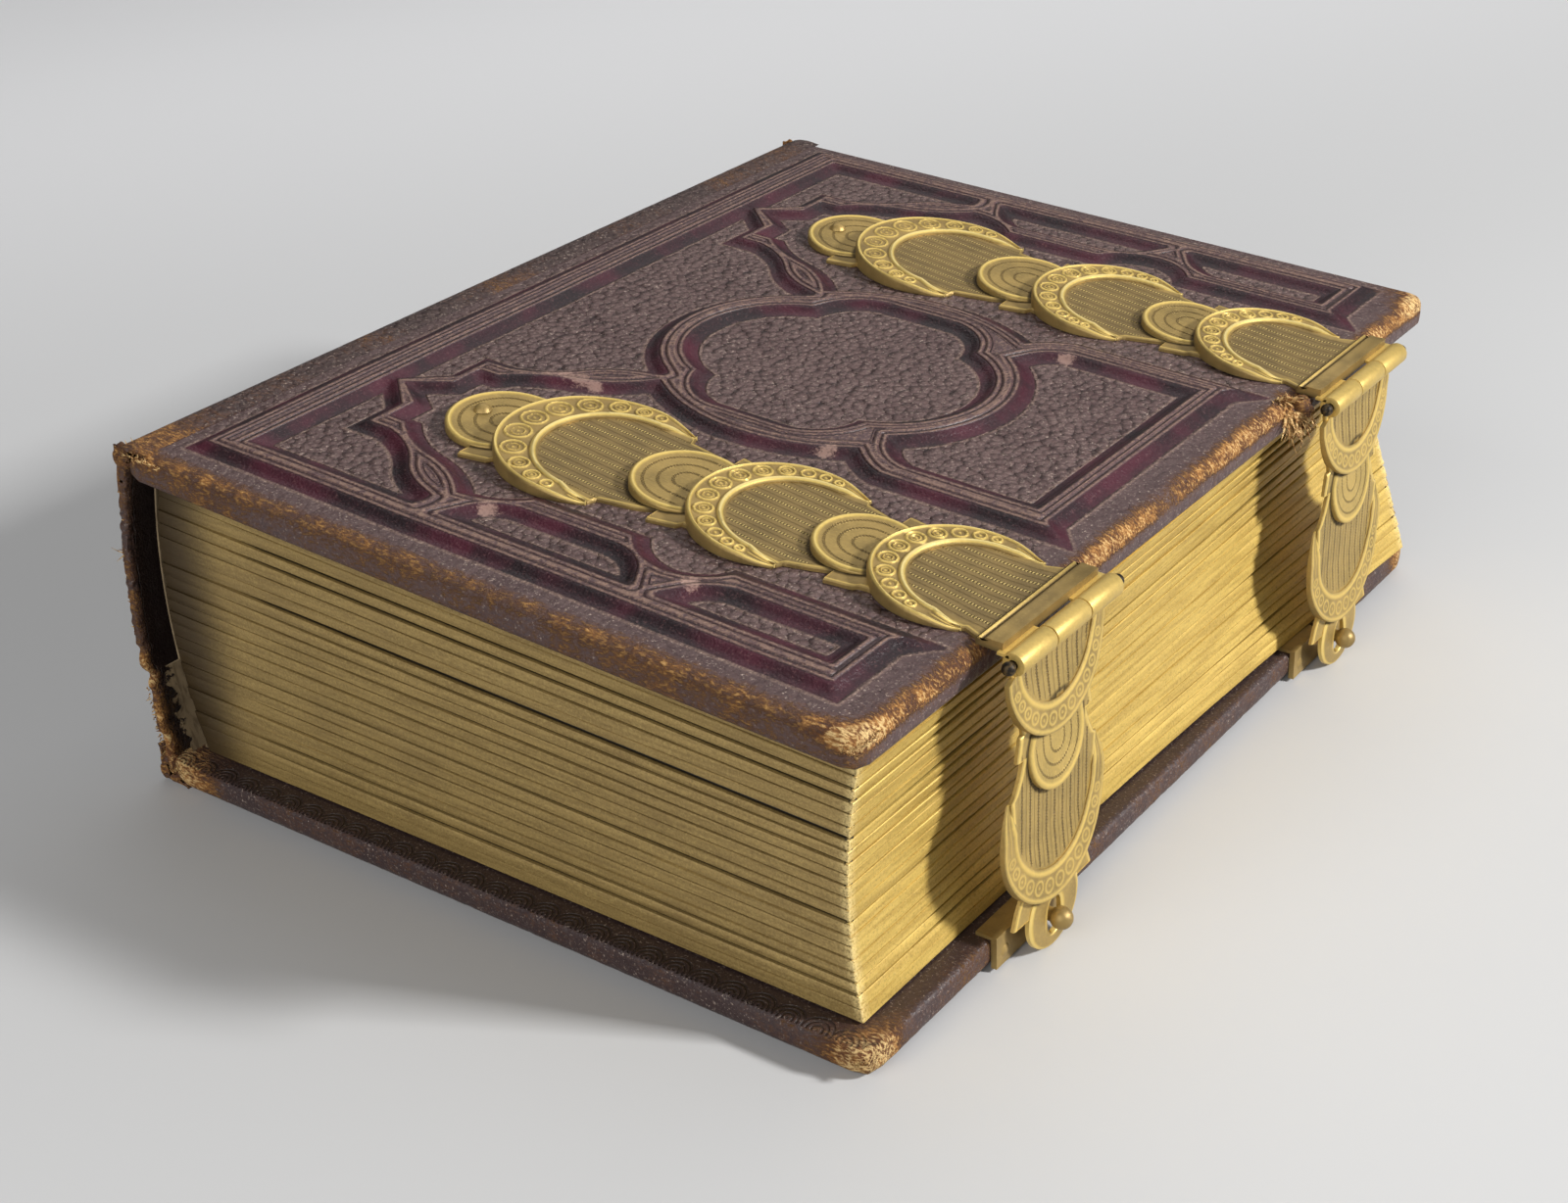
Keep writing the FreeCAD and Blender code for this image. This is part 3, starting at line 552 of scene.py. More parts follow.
# %% Distance to the low ground
def outline_distance(points, outline):
    """Distance from complex points to a closed polygon, negative inside. The nearest point of
    a side is its start plus the side times a share clipped to 0..1, and a ray to the right
    crosses the sides an odd number of times from inside. Where a corner is nearest, the larger
    distance to its two sides, drawn on, is taken instead, which gives a moulding a mitre."""
    best = np.full(points.shape, 1e9)
    inside = np.zeros(points.shape, bool)
    for start, end in zip(outline, np.roll(outline, -1)):
        side = end - start
        away = points - start
        share = np.clip((away * np.conj(side)).real / (abs(side) ** 2 + 1e-12), 0, 1)
        best = np.minimum(best, abs(away - share * side))
        crosses = (start.imag > points.imag) != (end.imag > points.imag)
        if start.imag != end.imag:
            at = start.real + (points.imag - start.imag) * side.real / side.imag
            inside ^= crosses & (points.real < at)
    mitred = best.copy()
    for before, corner, after in zip(np.roll(outline, 1), outline, np.roll(outline, -1)):
        away = points - corner
        near = abs(away) <= best + 1e-9
        away = away[near]
        drawn_on = 0.6 * abs(away)
        for side in (corner - before, after - corner):
            way = side / abs(side)
            drawn_on = np.maximum(drawn_on, abs((away * way.conjugate()).imag))
        mitred[near] = drawn_on
    return np.where(inside, -mitred, mitred)


def foot_distance(x, y):
    """Distance to the foot of the mouldings: positive on them, negative on the low ground.
    It is the least of the distances outside the sunk outlines and inside the frame."""
    points = x + 1j * y
    least = -outline_distance(points, FRAME)
    for outline in SUNK:
        least = np.minimum(least, outline_distance(points, outline))
    return least


print("the medallion's middle is", -foot_distance(np.array([59.5]), np.array([MIDDLE]))[0].round(1),
      "mm from its rim")

# %% Height of the pattern
RIDGE_HEIGHT = 1.1
BEVEL = 2.25    # width of a moulding's slope
RUBS_AND_HIGHLIGHTS = [      # places painted pale: X, Y and size; some rubbed, some painted highlights on the bevels
    (29.2, 50.3, 1.3), (32, 50.4, 1.6), (34.8, 50.5, 1.4), (37.4, 50.6, 1.2), (49.7, 14.9, 1.7),
    (81.5, 15.0, 1.7), (74, 53.2, 1.6), (67.9, 107.8, 1.4), (84.5, 96.9, 1.5)]
print("mouldings", RIDGE_HEIGHT, "mm high, with", len(RUBS_AND_HIGHLIGHTS), "rubbed places")

# %% [markdown]
# ## Covers
# A cover is a millboard with leather drawn over its outer face, round its edges and in over
# its inner face as a turn-in. The leather could be a box with a bevel, but the pressed relief,
# the rounded corners and the rubbed edges all need their own points. A fine grid covers the
# outer face, its corners drawn in to quarter circles, and rings of points carry its border
# round the edge and in along the turn-in.

# %% Grid with round corners
def rounded_grid(half_x, half_y, radius, columns, rows):
    """Grid over a rectangle with quarter-circle corners. In a corner's square, with a and b the
    shares along each side, the point moves to (a, b) times max(a, b) over its length."""
    x, y = np.meshgrid(np.linspace(-half_x, half_x, columns), np.linspace(-half_y, half_y, rows))
    a = np.clip((abs(x) - half_x + radius) / radius, 0, 1)
    b = np.clip((abs(y) - half_y + radius) / radius, 0, 1)
    corner = (a > 0) & (b > 0)
    length = np.where(corner, np.hypot(a, b), 1)
    share = np.where(corner, np.maximum(a, b) / length, 1)
    x = np.where(corner, np.sign(x) * (half_x - radius + a * share * radius), x)
    y = np.where(corner, np.sign(y) * (half_y - radius + b * share * radius), y)
    return x, y


def rim_of(array):
    """The border of a grid, once round, counter-clockwise from its first corner."""
    return np.concatenate([array[0, :-1], array[:-1, -1], array[-1, :0:-1], array[:0:-1, 0]])


ROUND_TOP, ROUND_LOW, CORNER_RADIUS, TURN_IN = 2.2, 1.0, 2.5, 9.0
LEATHER_SHARP = 60      # degrees between faces, past which an edge is drawn sharp


def outwards(x, y, half_x, half_y):
    """Way out from each point of the grid's border: square to a side, and fanned round at a
    corner."""
    lap = CORNER_RADIUS - ROUND_TOP
    out_x = np.sign(x) * np.clip((abs(x) - half_x + CORNER_RADIUS) / lap, 0, 1)
    out_y = np.sign(y) * np.clip((abs(y) - half_y + CORNER_RADIUS) / lap, 0, 1)
    length = np.hypot(out_x, out_y)
    on_x = (abs(x) >= half_x - ROUND_TOP - 1e-6) & (abs(y) < half_y - CORNER_RADIUS)
    on_y = (abs(y) >= half_y - ROUND_TOP - 1e-6) & (abs(x) < half_x - CORNER_RADIUS)
    return (np.where(on_x, np.sign(x), np.where(on_y, 0, out_x / length)),
            np.where(on_y, np.sign(y), np.where(on_x, 0, out_y / length)))


print("a cover's corner is rounded by", CORNER_RADIUS, "mm")


# %% Cover skin
def cover_skin(name, left, columns, rows, height_of, worn_of, place, body, nodes, material):
    """Leather of one cover. Outside the grid, ring k stands out from the border by o(k) and
    below it by d(k): a quarter circle of 2.2 mm, the edge, one of 1 mm, and the turn-in."""
    half_x, half_y = (FORE - left) / 2, HEIGHT / 2
    middle_x = (FORE + left) / 2
    x, y = rounded_grid(half_x - ROUND_TOP, half_y - ROUND_TOP, CORNER_RADIUS - ROUND_TOP,
                        columns, rows)
    rim_x, rim_y = rim_of(x), rim_of(y)
    out_x, out_y = outwards(rim_x, rim_y, half_x, half_y)
    turns = np.linspace(0, math.pi / 2, 7)[1:]
    low_turns = np.linspace(0, math.pi / 2, 5)[1:]
    flat = THICK - ROUND_TOP - ROUND_LOW
    offsets = np.concatenate([
        ROUND_TOP * np.sin(turns), [ROUND_TOP] * 2, ROUND_TOP - ROUND_LOW * (1 - np.cos(low_turns))])
    turned_in = ((3.0, THICK), (6.0, THICK), (TURN_IN, THICK), (TURN_IN, THICK - 0.6))
    drops = np.concatenate([
        ROUND_TOP * (1 - np.cos(turns)), [ROUND_TOP + flat * 0.45, ROUND_TOP + flat * 0.9],
        THICK - ROUND_LOW + ROUND_LOW * np.sin(low_turns), [drop for _, drop in turned_in]])
    ring_x = [rim_x + out_x * o for o in offsets]
    ring_y = [rim_y + out_y * o for o in offsets]
    for inset, _ in turned_in:
        ring_x.append(rim_x * (half_x - inset) / (half_x - ROUND_TOP))
        ring_y.append(rim_y * (half_y - inset) / (half_y - ROUND_TOP))
    flat_x, flat_y = x + middle_x, y + half_y
    height, foot = height_of(flat_x, flat_y)
    ring_x, ring_y = np.array(ring_x) + middle_x, np.array(ring_y) + half_y
    drops = drops[:, None]
    lump = 0.10 * cloud(ring_x * 1.3 + 40, ring_y * 1.3, 2.3, 5) + 0.05 * cloud(ring_x, ring_y, 0.9, 6)
    edge = step(drops, 0.0, 0.8) * (1 - step(drops, THICK - 0.8, THICK))
    ring_x = ring_x - out_x * edge * abs(lump)
    ring_y = ring_y - out_y * edge * abs(lump)
    drops = drops + 0 * ring_x
    pile = Pile(["foot", "worn", "inner", "rub_and_highlight", "margin"])
    from_edge = np.minimum(half_x - abs(x), half_y - abs(y))
    # pale places from the list: partly rubbed leather, partly painted highlights
    rub_and_highlight = sum(np.exp(-(np.hypot(flat_x - rx, flat_y - ry) / size) ** 2) for rx, ry, size in RUBS_AND_HIGHLIGHTS)
    top = pile.add(place(np.stack([flat_x, flat_y, height], -1)), {
        "foot": foot, "worn": worn_of(flat_x, flat_y, 0 * flat_x), "rub_and_highlight": rub_and_highlight,
        "margin": 1 - step(from_edge, 4.5, 7.5)})
    rings = pile.add(place(np.stack([ring_x, ring_y, -drops], -1)), {
        "foot": -3.0, "worn": worn_of(ring_x, ring_y, drops),
        # painted shade: the low edge and the turn-in are darkened by the inner mark
        "inner": 0.35 * step(drops, THICK - 0.5, THICK - 0.05), "margin": 1.0})
    pile.sheet(top)
    pile.join(rim_of(top)[::-1], rings[0][::-1])
    for first, second in zip(rings, rings[1:]):
        pile.join(first[::-1], second[::-1])
    pile.close(rings[-1][::-1])
    pile.turn_out(0)
    return pile.finish(name, body, nodes, material, "cover_leather", LEATHER_SHARP)


print("the front cover is", HEIGHT, "by", FORE - FRONT_LEFT, "mm, and", THICK, "mm thick")

# %% [markdown]
# ## Wear
# Handling has rubbed the dye off the rims: a brown band along the tail, a bright tan one
# along the fore-edge, and bare fibres at the corners. The mark is high near those edges and
# falls off inwards, and the finish breaks it up with noise.

# %% Worn rims
def edge_wear(x, y, left, wave, bands, corners):
    """Wear of a cover's rims. A band along an edge is a bell curve of the distance to it, given
    by its offset, width, size and swing with the wave, in the order fore-edge, tail, head and
    spine. The largest counts, and a round spot is added at each corner."""
    distances = FORE - x, y, HEIGHT - y, x - left
    edges = [np.exp(-((away - offset) / width) ** 2) * (size + swing * wave)
             for away, (offset, width, size, swing) in zip(distances, bands)]
    return np.maximum.reduce(edges) + sum(
        amount * np.exp(-(np.hypot(x - cx, y - cy) / size) ** 2) for cx, cy, size, amount in corners)


print("a band of wear falls to", round(math.exp(-1), 2), "of its size at its width")


# %% Front cover
def front_worn(x, y, drop):
    """Wear of the front cover, with a torn place by the head clasp. Lower down its edge only
    the tail end is worn."""
    wave = 0.5 * cloud(x, y, 14, 11) + 0.3 * cloud(x, y, 5, 12)
    by_tail = 0.26 + 0.5 * np.exp(-(y / 16) ** 2)
    worn = edge_wear(
        x, y, FRONT_LEFT, wave,
        [(0.5, 2.0, 0.86, 0.4), (0.9, 1.7, 0.72, 0.22), (0, 1.5, 0.35, 0.3), (1.0, 1.8, by_tail, 0.4)],
        [(FORE, 0, 5.2, 0.80), (FORE, HEIGHT, 7, 0.9), (FRONT_LEFT, 0, 5, 0.5),
         (FRONT_LEFT, HEIGHT, 6, 0.6)])
    low = step(drop, 1.6, 2.6)
    torn = np.exp(-((y - 105.4) / 2.3) ** 2) * np.exp(-((FORE - x) / 2.8) ** 2)
    worn = np.clip(np.maximum(worn, 1.35 * torn), 0, 1.5) * (1 - 0.75 * low * (1 - torn))
    worn = worn + 0.40 * low * (y < 1) * (1 + 0.8 * wave)
    return worn * (1 - step(drop, 4.2, 4.55))


def front_height(x, y):
    """Height of the pressed leather: the ridge height times the share of the bevel climbed,
    with a soft crest, less two grooves round the cords, plus slow waves."""
    foot = foot_distance(x, y)
    share = np.clip(foot / BEVEL, 0, 1)
    climb = 0.16 * step(share, 0.0, 0.10) + 0.72 * step(share, 0.30, 0.94)
    climb = climb + 0.12 * step(foot, 2.2, 3.4)
    climb = climb - 0.13 * (bump(foot - 2.95, 0.55) + bump(foot - 4.1, 0.6))
    edge = np.minimum(np.minimum(x - FRONT_LEFT, FORE - x), np.minimum(y, HEIGHT - y))
    inward = step(edge, 2.2, 5)
    waves = 0.09 * cloud(x, y, 23, 3) + 0.035 * cloud(x, y, 7, 4)
    return RIDGE_HEIGHT * climb * inward + waves * inward, foot


cover_skin("front_cover_leather", FRONT_LEFT, 242, 314, front_height, front_worn, on_front,
           "front_cover", ["front_leather"], TOOLED_LEATHER)


# %% Back cover
def back_worn(x, y, drop):
    """Wear of the back cover, with its worst at the tail corner of the fore-edge."""
    wave = 0.5 * cloud(x, y, 12, 21) + 0.3 * cloud(x, y, 4, 22)
    worn = edge_wear(
        x, y, BACK_LEFT, wave,
        [(0, 1.8, 0.36, 0.4), (0, 1.6, 0.3, 0.4), (0, 1.6, 0.3, 0.4), (0, 3.0, 0.55, 0.4)],
        [(FORE, 0, 6.5, 1.2), (FORE, HEIGHT, 6, 0.9), (BACK_LEFT, 0, 10, 0.85),
         (BACK_LEFT, HEIGHT, 7, 0.7)])
    return np.clip(worn, 0, 1.5)


def back_height(x, y):
    """The back cover is left plain: only slow waves, sunk so that it still lies flat."""
    return -0.05 + 0.05 * cloud(x, y, 19, 8), 0 * x - 3.0


cover_skin("back_cover_leather", BACK_LEFT, 120, 150, back_height, back_worn, on_back,
           "back_cover", ["back_leather"], SHADED_PLAIN_LEATHER)

# %% [markdown]
# ## Brass
# The clasps are stamped brass. The rims are rubbed bright, the fields between them are dull
# brown-green, and dirt sits where one scale meets the next. Shade is painted dark at the foot
# of each scale, round the roundels and in the low parts of the strap's bar. Dotted and plain
# lines are cut into the fields. They are too fine for the mesh, so each point carries two
# numbers: one that is whole on every line, and one that counts millimetres along it.

# %% Brass finish
def brass(name, stamped):
    """Aged brass: patina by noise, bright where the mark says polished, and on the hasps also painted
    lighter as painted light, dark in the dirt and in painted shade.
    """
    finish = Finish(name)
    broad = finish.noise(5.0, 5.0)
    fine = finish.noise(0.45, 5.0, rough=0.65)
    colour = finish.coats(
        finish.mix(broad.step(0.32, 0.68), (142, 119, 72), (174, 146, 88)),
        (fine.step(0.5, 0.75) * 0.4, (194, 167, 106)))
    height = fine * 0.03 + broad * 0.03
    rough = 0.38 + fine * 0.2
    shine = 0.55
    if stamped:
        scratch = finish.noise(0.8, 3.0, stretch=(0.25, 3.0, 0.25))
        across, lined = finish.mark("across"), finish.mark("lined")
        polish_and_light = finish.mark("polish_and_light") + (fine - 0.5) * 0.2
        grime_and_shade = finish.mark("grime_and_shade") + (fine - 0.5) * 0.3
        rule = (across * 2.0).line(0.16)
        beads = (finish.mark("along") / 0.45).line(0.42)
        dotted = lined * across.line(0.14)
        ruled = finish.mark("ruled") * lined
        field = ruled.step(0.05, 0.2)
        colour = finish.coats(
            colour,
            (ruled * 0.5, (118, 99, 66)),
            (polish_and_light.step(0.1, 0.7), (230, 198, 110)),
            (polish_and_light.step(0.6, 1.0) * 0.7, (250, 228, 154)),
            (rule * field * 0.38, (84, 67, 38)),
            (dotted * 0.42, (66, 51, 28)),
            (dotted * beads * ruled.step(0.3, 0.8) * 0.75, (222, 196, 124)),
            (grime_and_shade.step(0.25, 0.95) * 0.85, (50, 39, 24)))
        height = height + dotted * (beads * 0.2 - 0.1) - rule * field * 0.05 + scratch * lined * 0.05
        shine = 0.6 - polish_and_light.step(0.1, 0.9) * 0.1
        rough = rough + grime_and_shade.step(0.2, 0.9) * 0.25 - polish_and_light.step(0.4, 1.0) * 0.12
    return finish.set(Base_Color=colour, Roughness=rough, Normal=finish.relief(height),
                      Metallic=shine - fine.step(0.62, 0.85) * 0.25)


STAMPED_BRASS = brass("stamped brass", True)
PLAIN_BRASS = brass("plain brass", False)
print("brass finishes made")

# %% [markdown]
# ## Clasps
# Each clasp is a strap on the cover and a hasp that hangs over the fore-edge. Both look like
# a row of fish scales: small discs and large crescents, each tilted so that its round end
# lies on top of its neighbour. One disc bent from a grid of squares would show steps along
# its rims, so each scale is made of rings: the points follow the rims exactly. All lengths
# are measured from the hinge: u along the clasp, w across it and h above its back.

# %% Discs
SLOPE = 0.1
LOWEST_FACE = 1.02
BRASS_MARKS = ["polish_and_light", "across", "along", "ruled", "lined", "grime_and_shade"]
BRASS_SHARP = 50    # degrees between faces, past which an edge is drawn sharp


def tilt(u, far_end, high):
    """Height of a scale's face: high at its far end, falling towards the hinge."""
    return np.maximum(high - SLOPE * (far_end - u), LOWEST_FACE)


def grime_near(u, w, others):
    """1 at the foot of a scale that lies on top, fading out within 1.1 mm of its outline."""
    dirt = np.zeros(np.shape(u))
    for centre, a, b in others:
        away = (np.hypot((u - centre) / a, w / b) - 1) * min(a, b)
        dirt = np.maximum(dirt, (1 - step(away, 0.1, 1.1)) * (away > -0.3))
    return dirt


def disc(pile, centre, radius, high, above, floor, place, crisp=1.0):
    """Small disc: a rim 0.3 mm high and 1 mm wide, and U-shaped dotted arcs inside it. The arcs
    are lines of equal |w| on the hinge side and of equal distance from the centre beyond."""
    turns = np.linspace(0, 2 * math.pi, 168, endpoint=False)
    r = np.concatenate([
        np.linspace(0.02, radius - 1.6, 10), radius - np.linspace(1.4, 0.12, 12),
        [radius - 0.03, radius, radius]])[:, None]
    u, w = centre + r * np.cos(turns), r * np.sin(turns)
    top = tilt(u, centre + radius, high)
    rim = bump(radius - r - 0.55, 0.5)
    h = top - 0.30 + 0.30 * rim * crisp + 0.06 * step(radius - r, 1.6, 1.2)
    h[-3] -= 0.06
    h[-2] -= 0.22
    h[-1] = floor
    reach = np.where(u > centre, np.hypot(u - centre, w), abs(w))
    along = np.where(u > centre, np.arctan2(w, u - centre) * reach, u)
    # painted light: the (1 - crisp) share paints the softer scales, chiefly the hasps', paler for their
    # window-lit faces
    pile.tube(place(u, w, h), {
        "polish_and_light": rim * 0.8 * crisp + 0.12 + 0.34 * (1 - crisp),
        "across": reach / (radius * 0.255), "along": along,
        "lined": (r < radius - 1.3) * (reach > radius * 0.15),
        # painted shade: the low rings at the foot of the disc are darkened through the dirt mark
        "grime_and_shade": np.maximum(grime_near(u, w, above), (h < 0.35) * 0.6)})


print("scales slope by", SLOPE, "and are lowest at", LOWEST_FACE, "mm")

# %% Crescents
HORN_TIP, CUT_TIP = 2.1, 1.52       # turn in radians from a crescent's far end to its tips


def crescent(pile, centre, a, b, inner, shift, high, above, floor, place, tip, crisp):
    """Large scale: a horned band between an ellipse and a circle shifted towards the hinge. Its
    rings are cross-sections of the band, and the band is pinched to a point past the tips.
    Roundels stand between its two rims while there is room, and three lines after that."""
    turns = np.linspace(-tip, tip, 250)[:, None]
    share = np.concatenate([[0.0, 0.0], np.linspace(0.02, 0.98, 27), [1.0, 1.0]])[None]
    outer_u, outer_w = centre + a * np.cos(turns), b * np.sin(turns)
    circle_u, circle_w = centre - shift + inner * np.cos(turns), inner * np.sin(turns)
    pinched = tip > 1.8
    open_up = 0.05 + 0.95 * np.clip((tip - abs(turns)) / 0.5, 0, 1) ** 0.5 if pinched else 1.0
    inner_u = outer_u + (circle_u - outer_u) * open_up
    inner_w = outer_w + (circle_w - outer_w) * open_up
    gap = np.hypot(outer_u - inner_u, outer_w - inner_w)
    u = inner_u + (outer_u - inner_u) * share
    w = inner_w + (outer_w - inner_w) * share
    from_inner, from_outer = share * gap, (1 - share) * gap
    thin = np.clip(gap / 3.0, 0.2, 1)
    inner_rim = bump(from_inner - 0.62 * thin, 0.62 * thin)
    outer_rim = bump(from_outer - 0.45 * thin, 0.45 * thin)
    raised = np.zeros_like(u)
    at, last = 0.0, 0.0
    for k in range(7):
        room = np.interp(at, turns[:, 0], gap[:, 0])
        radius = min(2.05, (room - 2.3) / 2)
        if k:
            at += (radius + last + 0.25) / (0.5 * (a + inner))
            room = np.interp(at, turns[:, 0], gap[:, 0])
            radius = min(radius, (room - 2.3) / 2)
        if radius < 0.6:
            break
        last = radius
        middle = (room + 0.35) / 2 / room
        ru, rw = (np.interp(at, turns[:, 0], (i + (o - i) * middle)[:, 0])
                  for i, o in ((inner_u, outer_u), (inner_w, outer_w)))
        for side in ((-1, 1) if k else (1,)):
            away = np.hypot(u - ru, w - side * rw)
            raised = np.maximum(raised, bump(away - radius * 0.85, 0.32))
            raised = np.maximum(raised, 0.8 * bump(away - radius * 0.45, 0.2) * (radius > 1.2))
            raised = np.maximum(raised, 0.9 * bump(away, 0.4))
    on_horn = step(abs(turns), at + 0.06, at + 0.12)
    lines = bump((share * 4 + 0.5) % 1 - 0.5, 0.3) * (share < 0.95)
    raised = np.maximum(raised, 0.7 * on_horn * lines)
    between = (from_inner > 1.2 * thin) & (from_outer > 0.85 * thin)
    fall = 0.55 * step(abs(turns), tip - 0.5, tip) if pinched else 0
    relief = 0.42 * inner_rim + 0.30 * outer_rim + 0.27 * raised * between
    h = tilt(u, centre + a, high) - 0.30 + relief * crisp - fall
    h[:, [0, -1]] = floor
    h[:, -2] -= 0.22
    # painted shade: the feet of the roundels' rings and the crescent's lowest rings are darkened through
    # the dirt mark
    hollows = between * 0.5 * (1 - raised) * step(raised, 0.0, 0.05)
    shade = np.maximum(grime_near(u, w, above), hollows)
    shade[:, [0, -1]] = 0.5
    polish_and_light = np.maximum(np.maximum(inner_rim * 1.2, outer_rim * 0.9), raised * 0.85 * between)
    # painted light: the (1 - crisp) share paints the hasps' crescents paler for their window-lit faces
    pile.tube(place(u, w, h), {"polish_and_light": polish_and_light * crisp + 0.34 * (1 - crisp), "grime_and_shade": shade})


print("a crescent's horns reach", round(math.degrees(HORN_TIP)), "degrees round it")

# %% Plates under the scales
PLATE_TOP, FIELD_DROP = 0.52, 0.45


def plate(pile, widths, scales, floor, place, above, lined_until=0.0, crisp=1.0):
    """Plate under the scales. Its half width at each u comes from a list of corners. Inside a
    crescent it carries the sunk field, a little under the crescent's face."""
    rows = []
    for (u0, w0), (u1, w1) in zip(widths, widths[1:]):
        count = max(1, int(math.hypot(u1 - u0, w1 - w0) / 0.6))
        rows += [(u0 + (u1 - u0) * k / count, w0 + (w1 - w0) * k / count) for k in range(count)]
    rows = np.array(rows + [widths[-1]])
    share = np.concatenate([[-1, -1, -0.985], np.linspace(-0.96, 0.96, 49), [0.985, 1, 1]])
    u = np.broadcast_to(rows[:, :1], (len(rows), len(share)))
    w = rows[:, 1:] * share
    top = np.full(len(rows), PLATE_TOP)
    lined = (u < lined_until) * 1.0
    for centre, a, b, inner, shift, high in scales:
        inside = (rows[:, 0] < centre - shift + inner + 0.6) & (rows[:, 0] > centre - a)
        face = high - SLOPE * (centre + a - rows[:, 0])
        top = np.where(inside, np.maximum(PLATE_TOP, face - FIELD_DROP), top)
        lined = np.maximum(lined, inside[:, None])
        field = np.hypot(np.maximum(u - centre + shift, 0), w)
        lined = lined * np.where(inside[:, None], 1 - step(field, inner - 0.5, inner - 0.1), 1)
    from_side = rows[:, 1:] - abs(w)
    lined = lined * step(from_side, 0.7, 1.1)
    border = bump(from_side - 0.45, 0.4) * (rows[:, 1:] > 3)
    h = top[:, None] - np.abs(share) ** 60 * 0.08 + 0.1 * border
    h[:, 0] = h[:, -1] = floor
    ends = [slice(0, 1), slice(None), slice(-1, None)]
    u, w, lined, border, h = (
        np.concatenate([grid[e] for e in ends]) for grid in (u, w, lined, border, h))
    h[0] = h[-1] = floor
    spread = 1 + 0.02 * np.clip(15 - u, 0, 20)      # of the dotted lines, towards the hinge
    start = len(pile.faces)
    # painted light: the (1 - crisp) share paints the hasps' plates paler for their window-lit faces
    numbers = pile.add(place(u, w, h), {
        "polish_and_light": 0.55 * border + 0.38 * (1 - crisp), "across": w / (1.9 * spread), "along": u,
        "lined": lined, "ruled": crisp, "grime_and_shade": grime_near(u, w, above)})
    pile.sheet(numbers)
    pile.join(numbers[:, -1], numbers[:, 0], around=False)
    pile.turn_out(start)


print("sunk fields lie", FIELD_DROP, "mm under the faces of their crescents")

# %% Rows of scales, knuckles and bars
def scale_row(pile, scales, floors, place, hollow, shift, crisp, disc_crisp):
    """Overlapping scales in a row, one floor for each. A crescent's inner circle is as wide as
    its hollow share, shifted by that share of its length, and a crescent that would reach past
    the hinge is cut straight. Gives the places of the scales, and the crescents' fields."""
    outlines = [(centre, a, b) for _, centre, a, b, _ in scales]
    fields = []
    for i, (kind, centre, a, b, high) in enumerate(scales):
        above = outlines[i + 1:i + 2]
        if kind == "disc":
            disc(pile, centre, a, high, above, floors[i], place, disc_crisp)
        else:
            fields.append((centre, a, b, b * hollow, a * shift, high))
            tip = CUT_TIP if centre < a else HORN_TIP
            crescent(pile, *fields[-1], above, floors[i], place, tip, crisp)
    return outlines, fields


def knuckle(pile, low, high, place):
    """Rolled knuckle: a tube of 1.5 mm round the pin, its ends eased by 0.2 mm, with a dent
    where the rolled sheet ends."""
    bore, radius = 0.62, 1.5
    ease = [(bore, 0.0), (radius - 0.2, 0.0), (radius - 0.05, 0.05), (radius, 0.2)]
    turns = np.linspace(0, 2 * math.pi, 48, endpoint=False)
    r, w = np.array([(r, low + e) for r, e in ease] + [(r, high - e) for r, e in ease[::-1]]).T
    seam = 1 - 0.06 * bump(turns - 4.2, 0.12)
    u, h = r[:, None] * np.cos(turns) * seam, r[:, None] * np.sin(turns) * seam
    pile.tube(place(u, w[:, None], h), {
        "polish_and_light": 0.42, "grime_and_shade": 0.55 * bump(turns - 4.2, 0.2)}, around=True)


def slab(pile, profile, low, high, place, polish_and_light):
    """Four-sided bar: a profile in u and h, carried across the clasp from low to high."""
    u, h = np.array(profile).T
    pile.tube(place(u, np.array([low, high])[:, None], h), {"polish_and_light": polish_and_light})


print("scales, plates and knuckles ready")

# %% [markdown]
# ## The straps
# A strap lies on the front cover, nailed down at its round end, and carries the two outer
# knuckles of its hinge on a thick double-ridged bar.

# %% Straps
STRAP_SCALES = [    # kind, centre along the clasp, half length, half width, height
    ("disc", 85.3, 8.2, 8.2, 1.75), ("crescent", 69.3, 14.2, 13.2, 3.1),
    ("disc", 54.7, 7.6, 7.6, 2.2), ("crescent", 39.9, 12.2, 11.9, 2.8),
    ("disc", 27.4, 6.9, 6.9, 2.0), ("crescent", 13.9, 11.4, 11.0, 2.6)]
STRAP_WIDTHS = [    # along the clasp, and half the plate's width there
    (1.9, 10.7), (4.9, 10.7), (5.6, 9.9), (7.8, 9.0), (8.2, 9.3), (10, 9.2), (14, 8.6),
    (22, 8.3), (23.0, 8.5), (23.4, 9.0), (27.2, 9.6), (27.3, 7.2), (30, 8.2), (33.3, 9.2),
    (33.7, 10.0), (36, 9.8), (42, 9.2), (49.0, 8.6), (49.4, 9.5), (53.4, 10.3), (53.5, 7.6),
    (56, 8.7), (61.6, 9.8), (62.1, 11.1), (64, 11.0), (70, 10.2), (79.6, 9.2), (80.0, 10.0),
    (84.2, 10.8), (84.3, 7.2), (85.5, 6.0)]
STRAP_FLOORS = [0.04, 0.06, 0.08, 0.10, 0.12, 0.14]     # undersides, each a little above the last
PLATE_FLOOR = 0.01


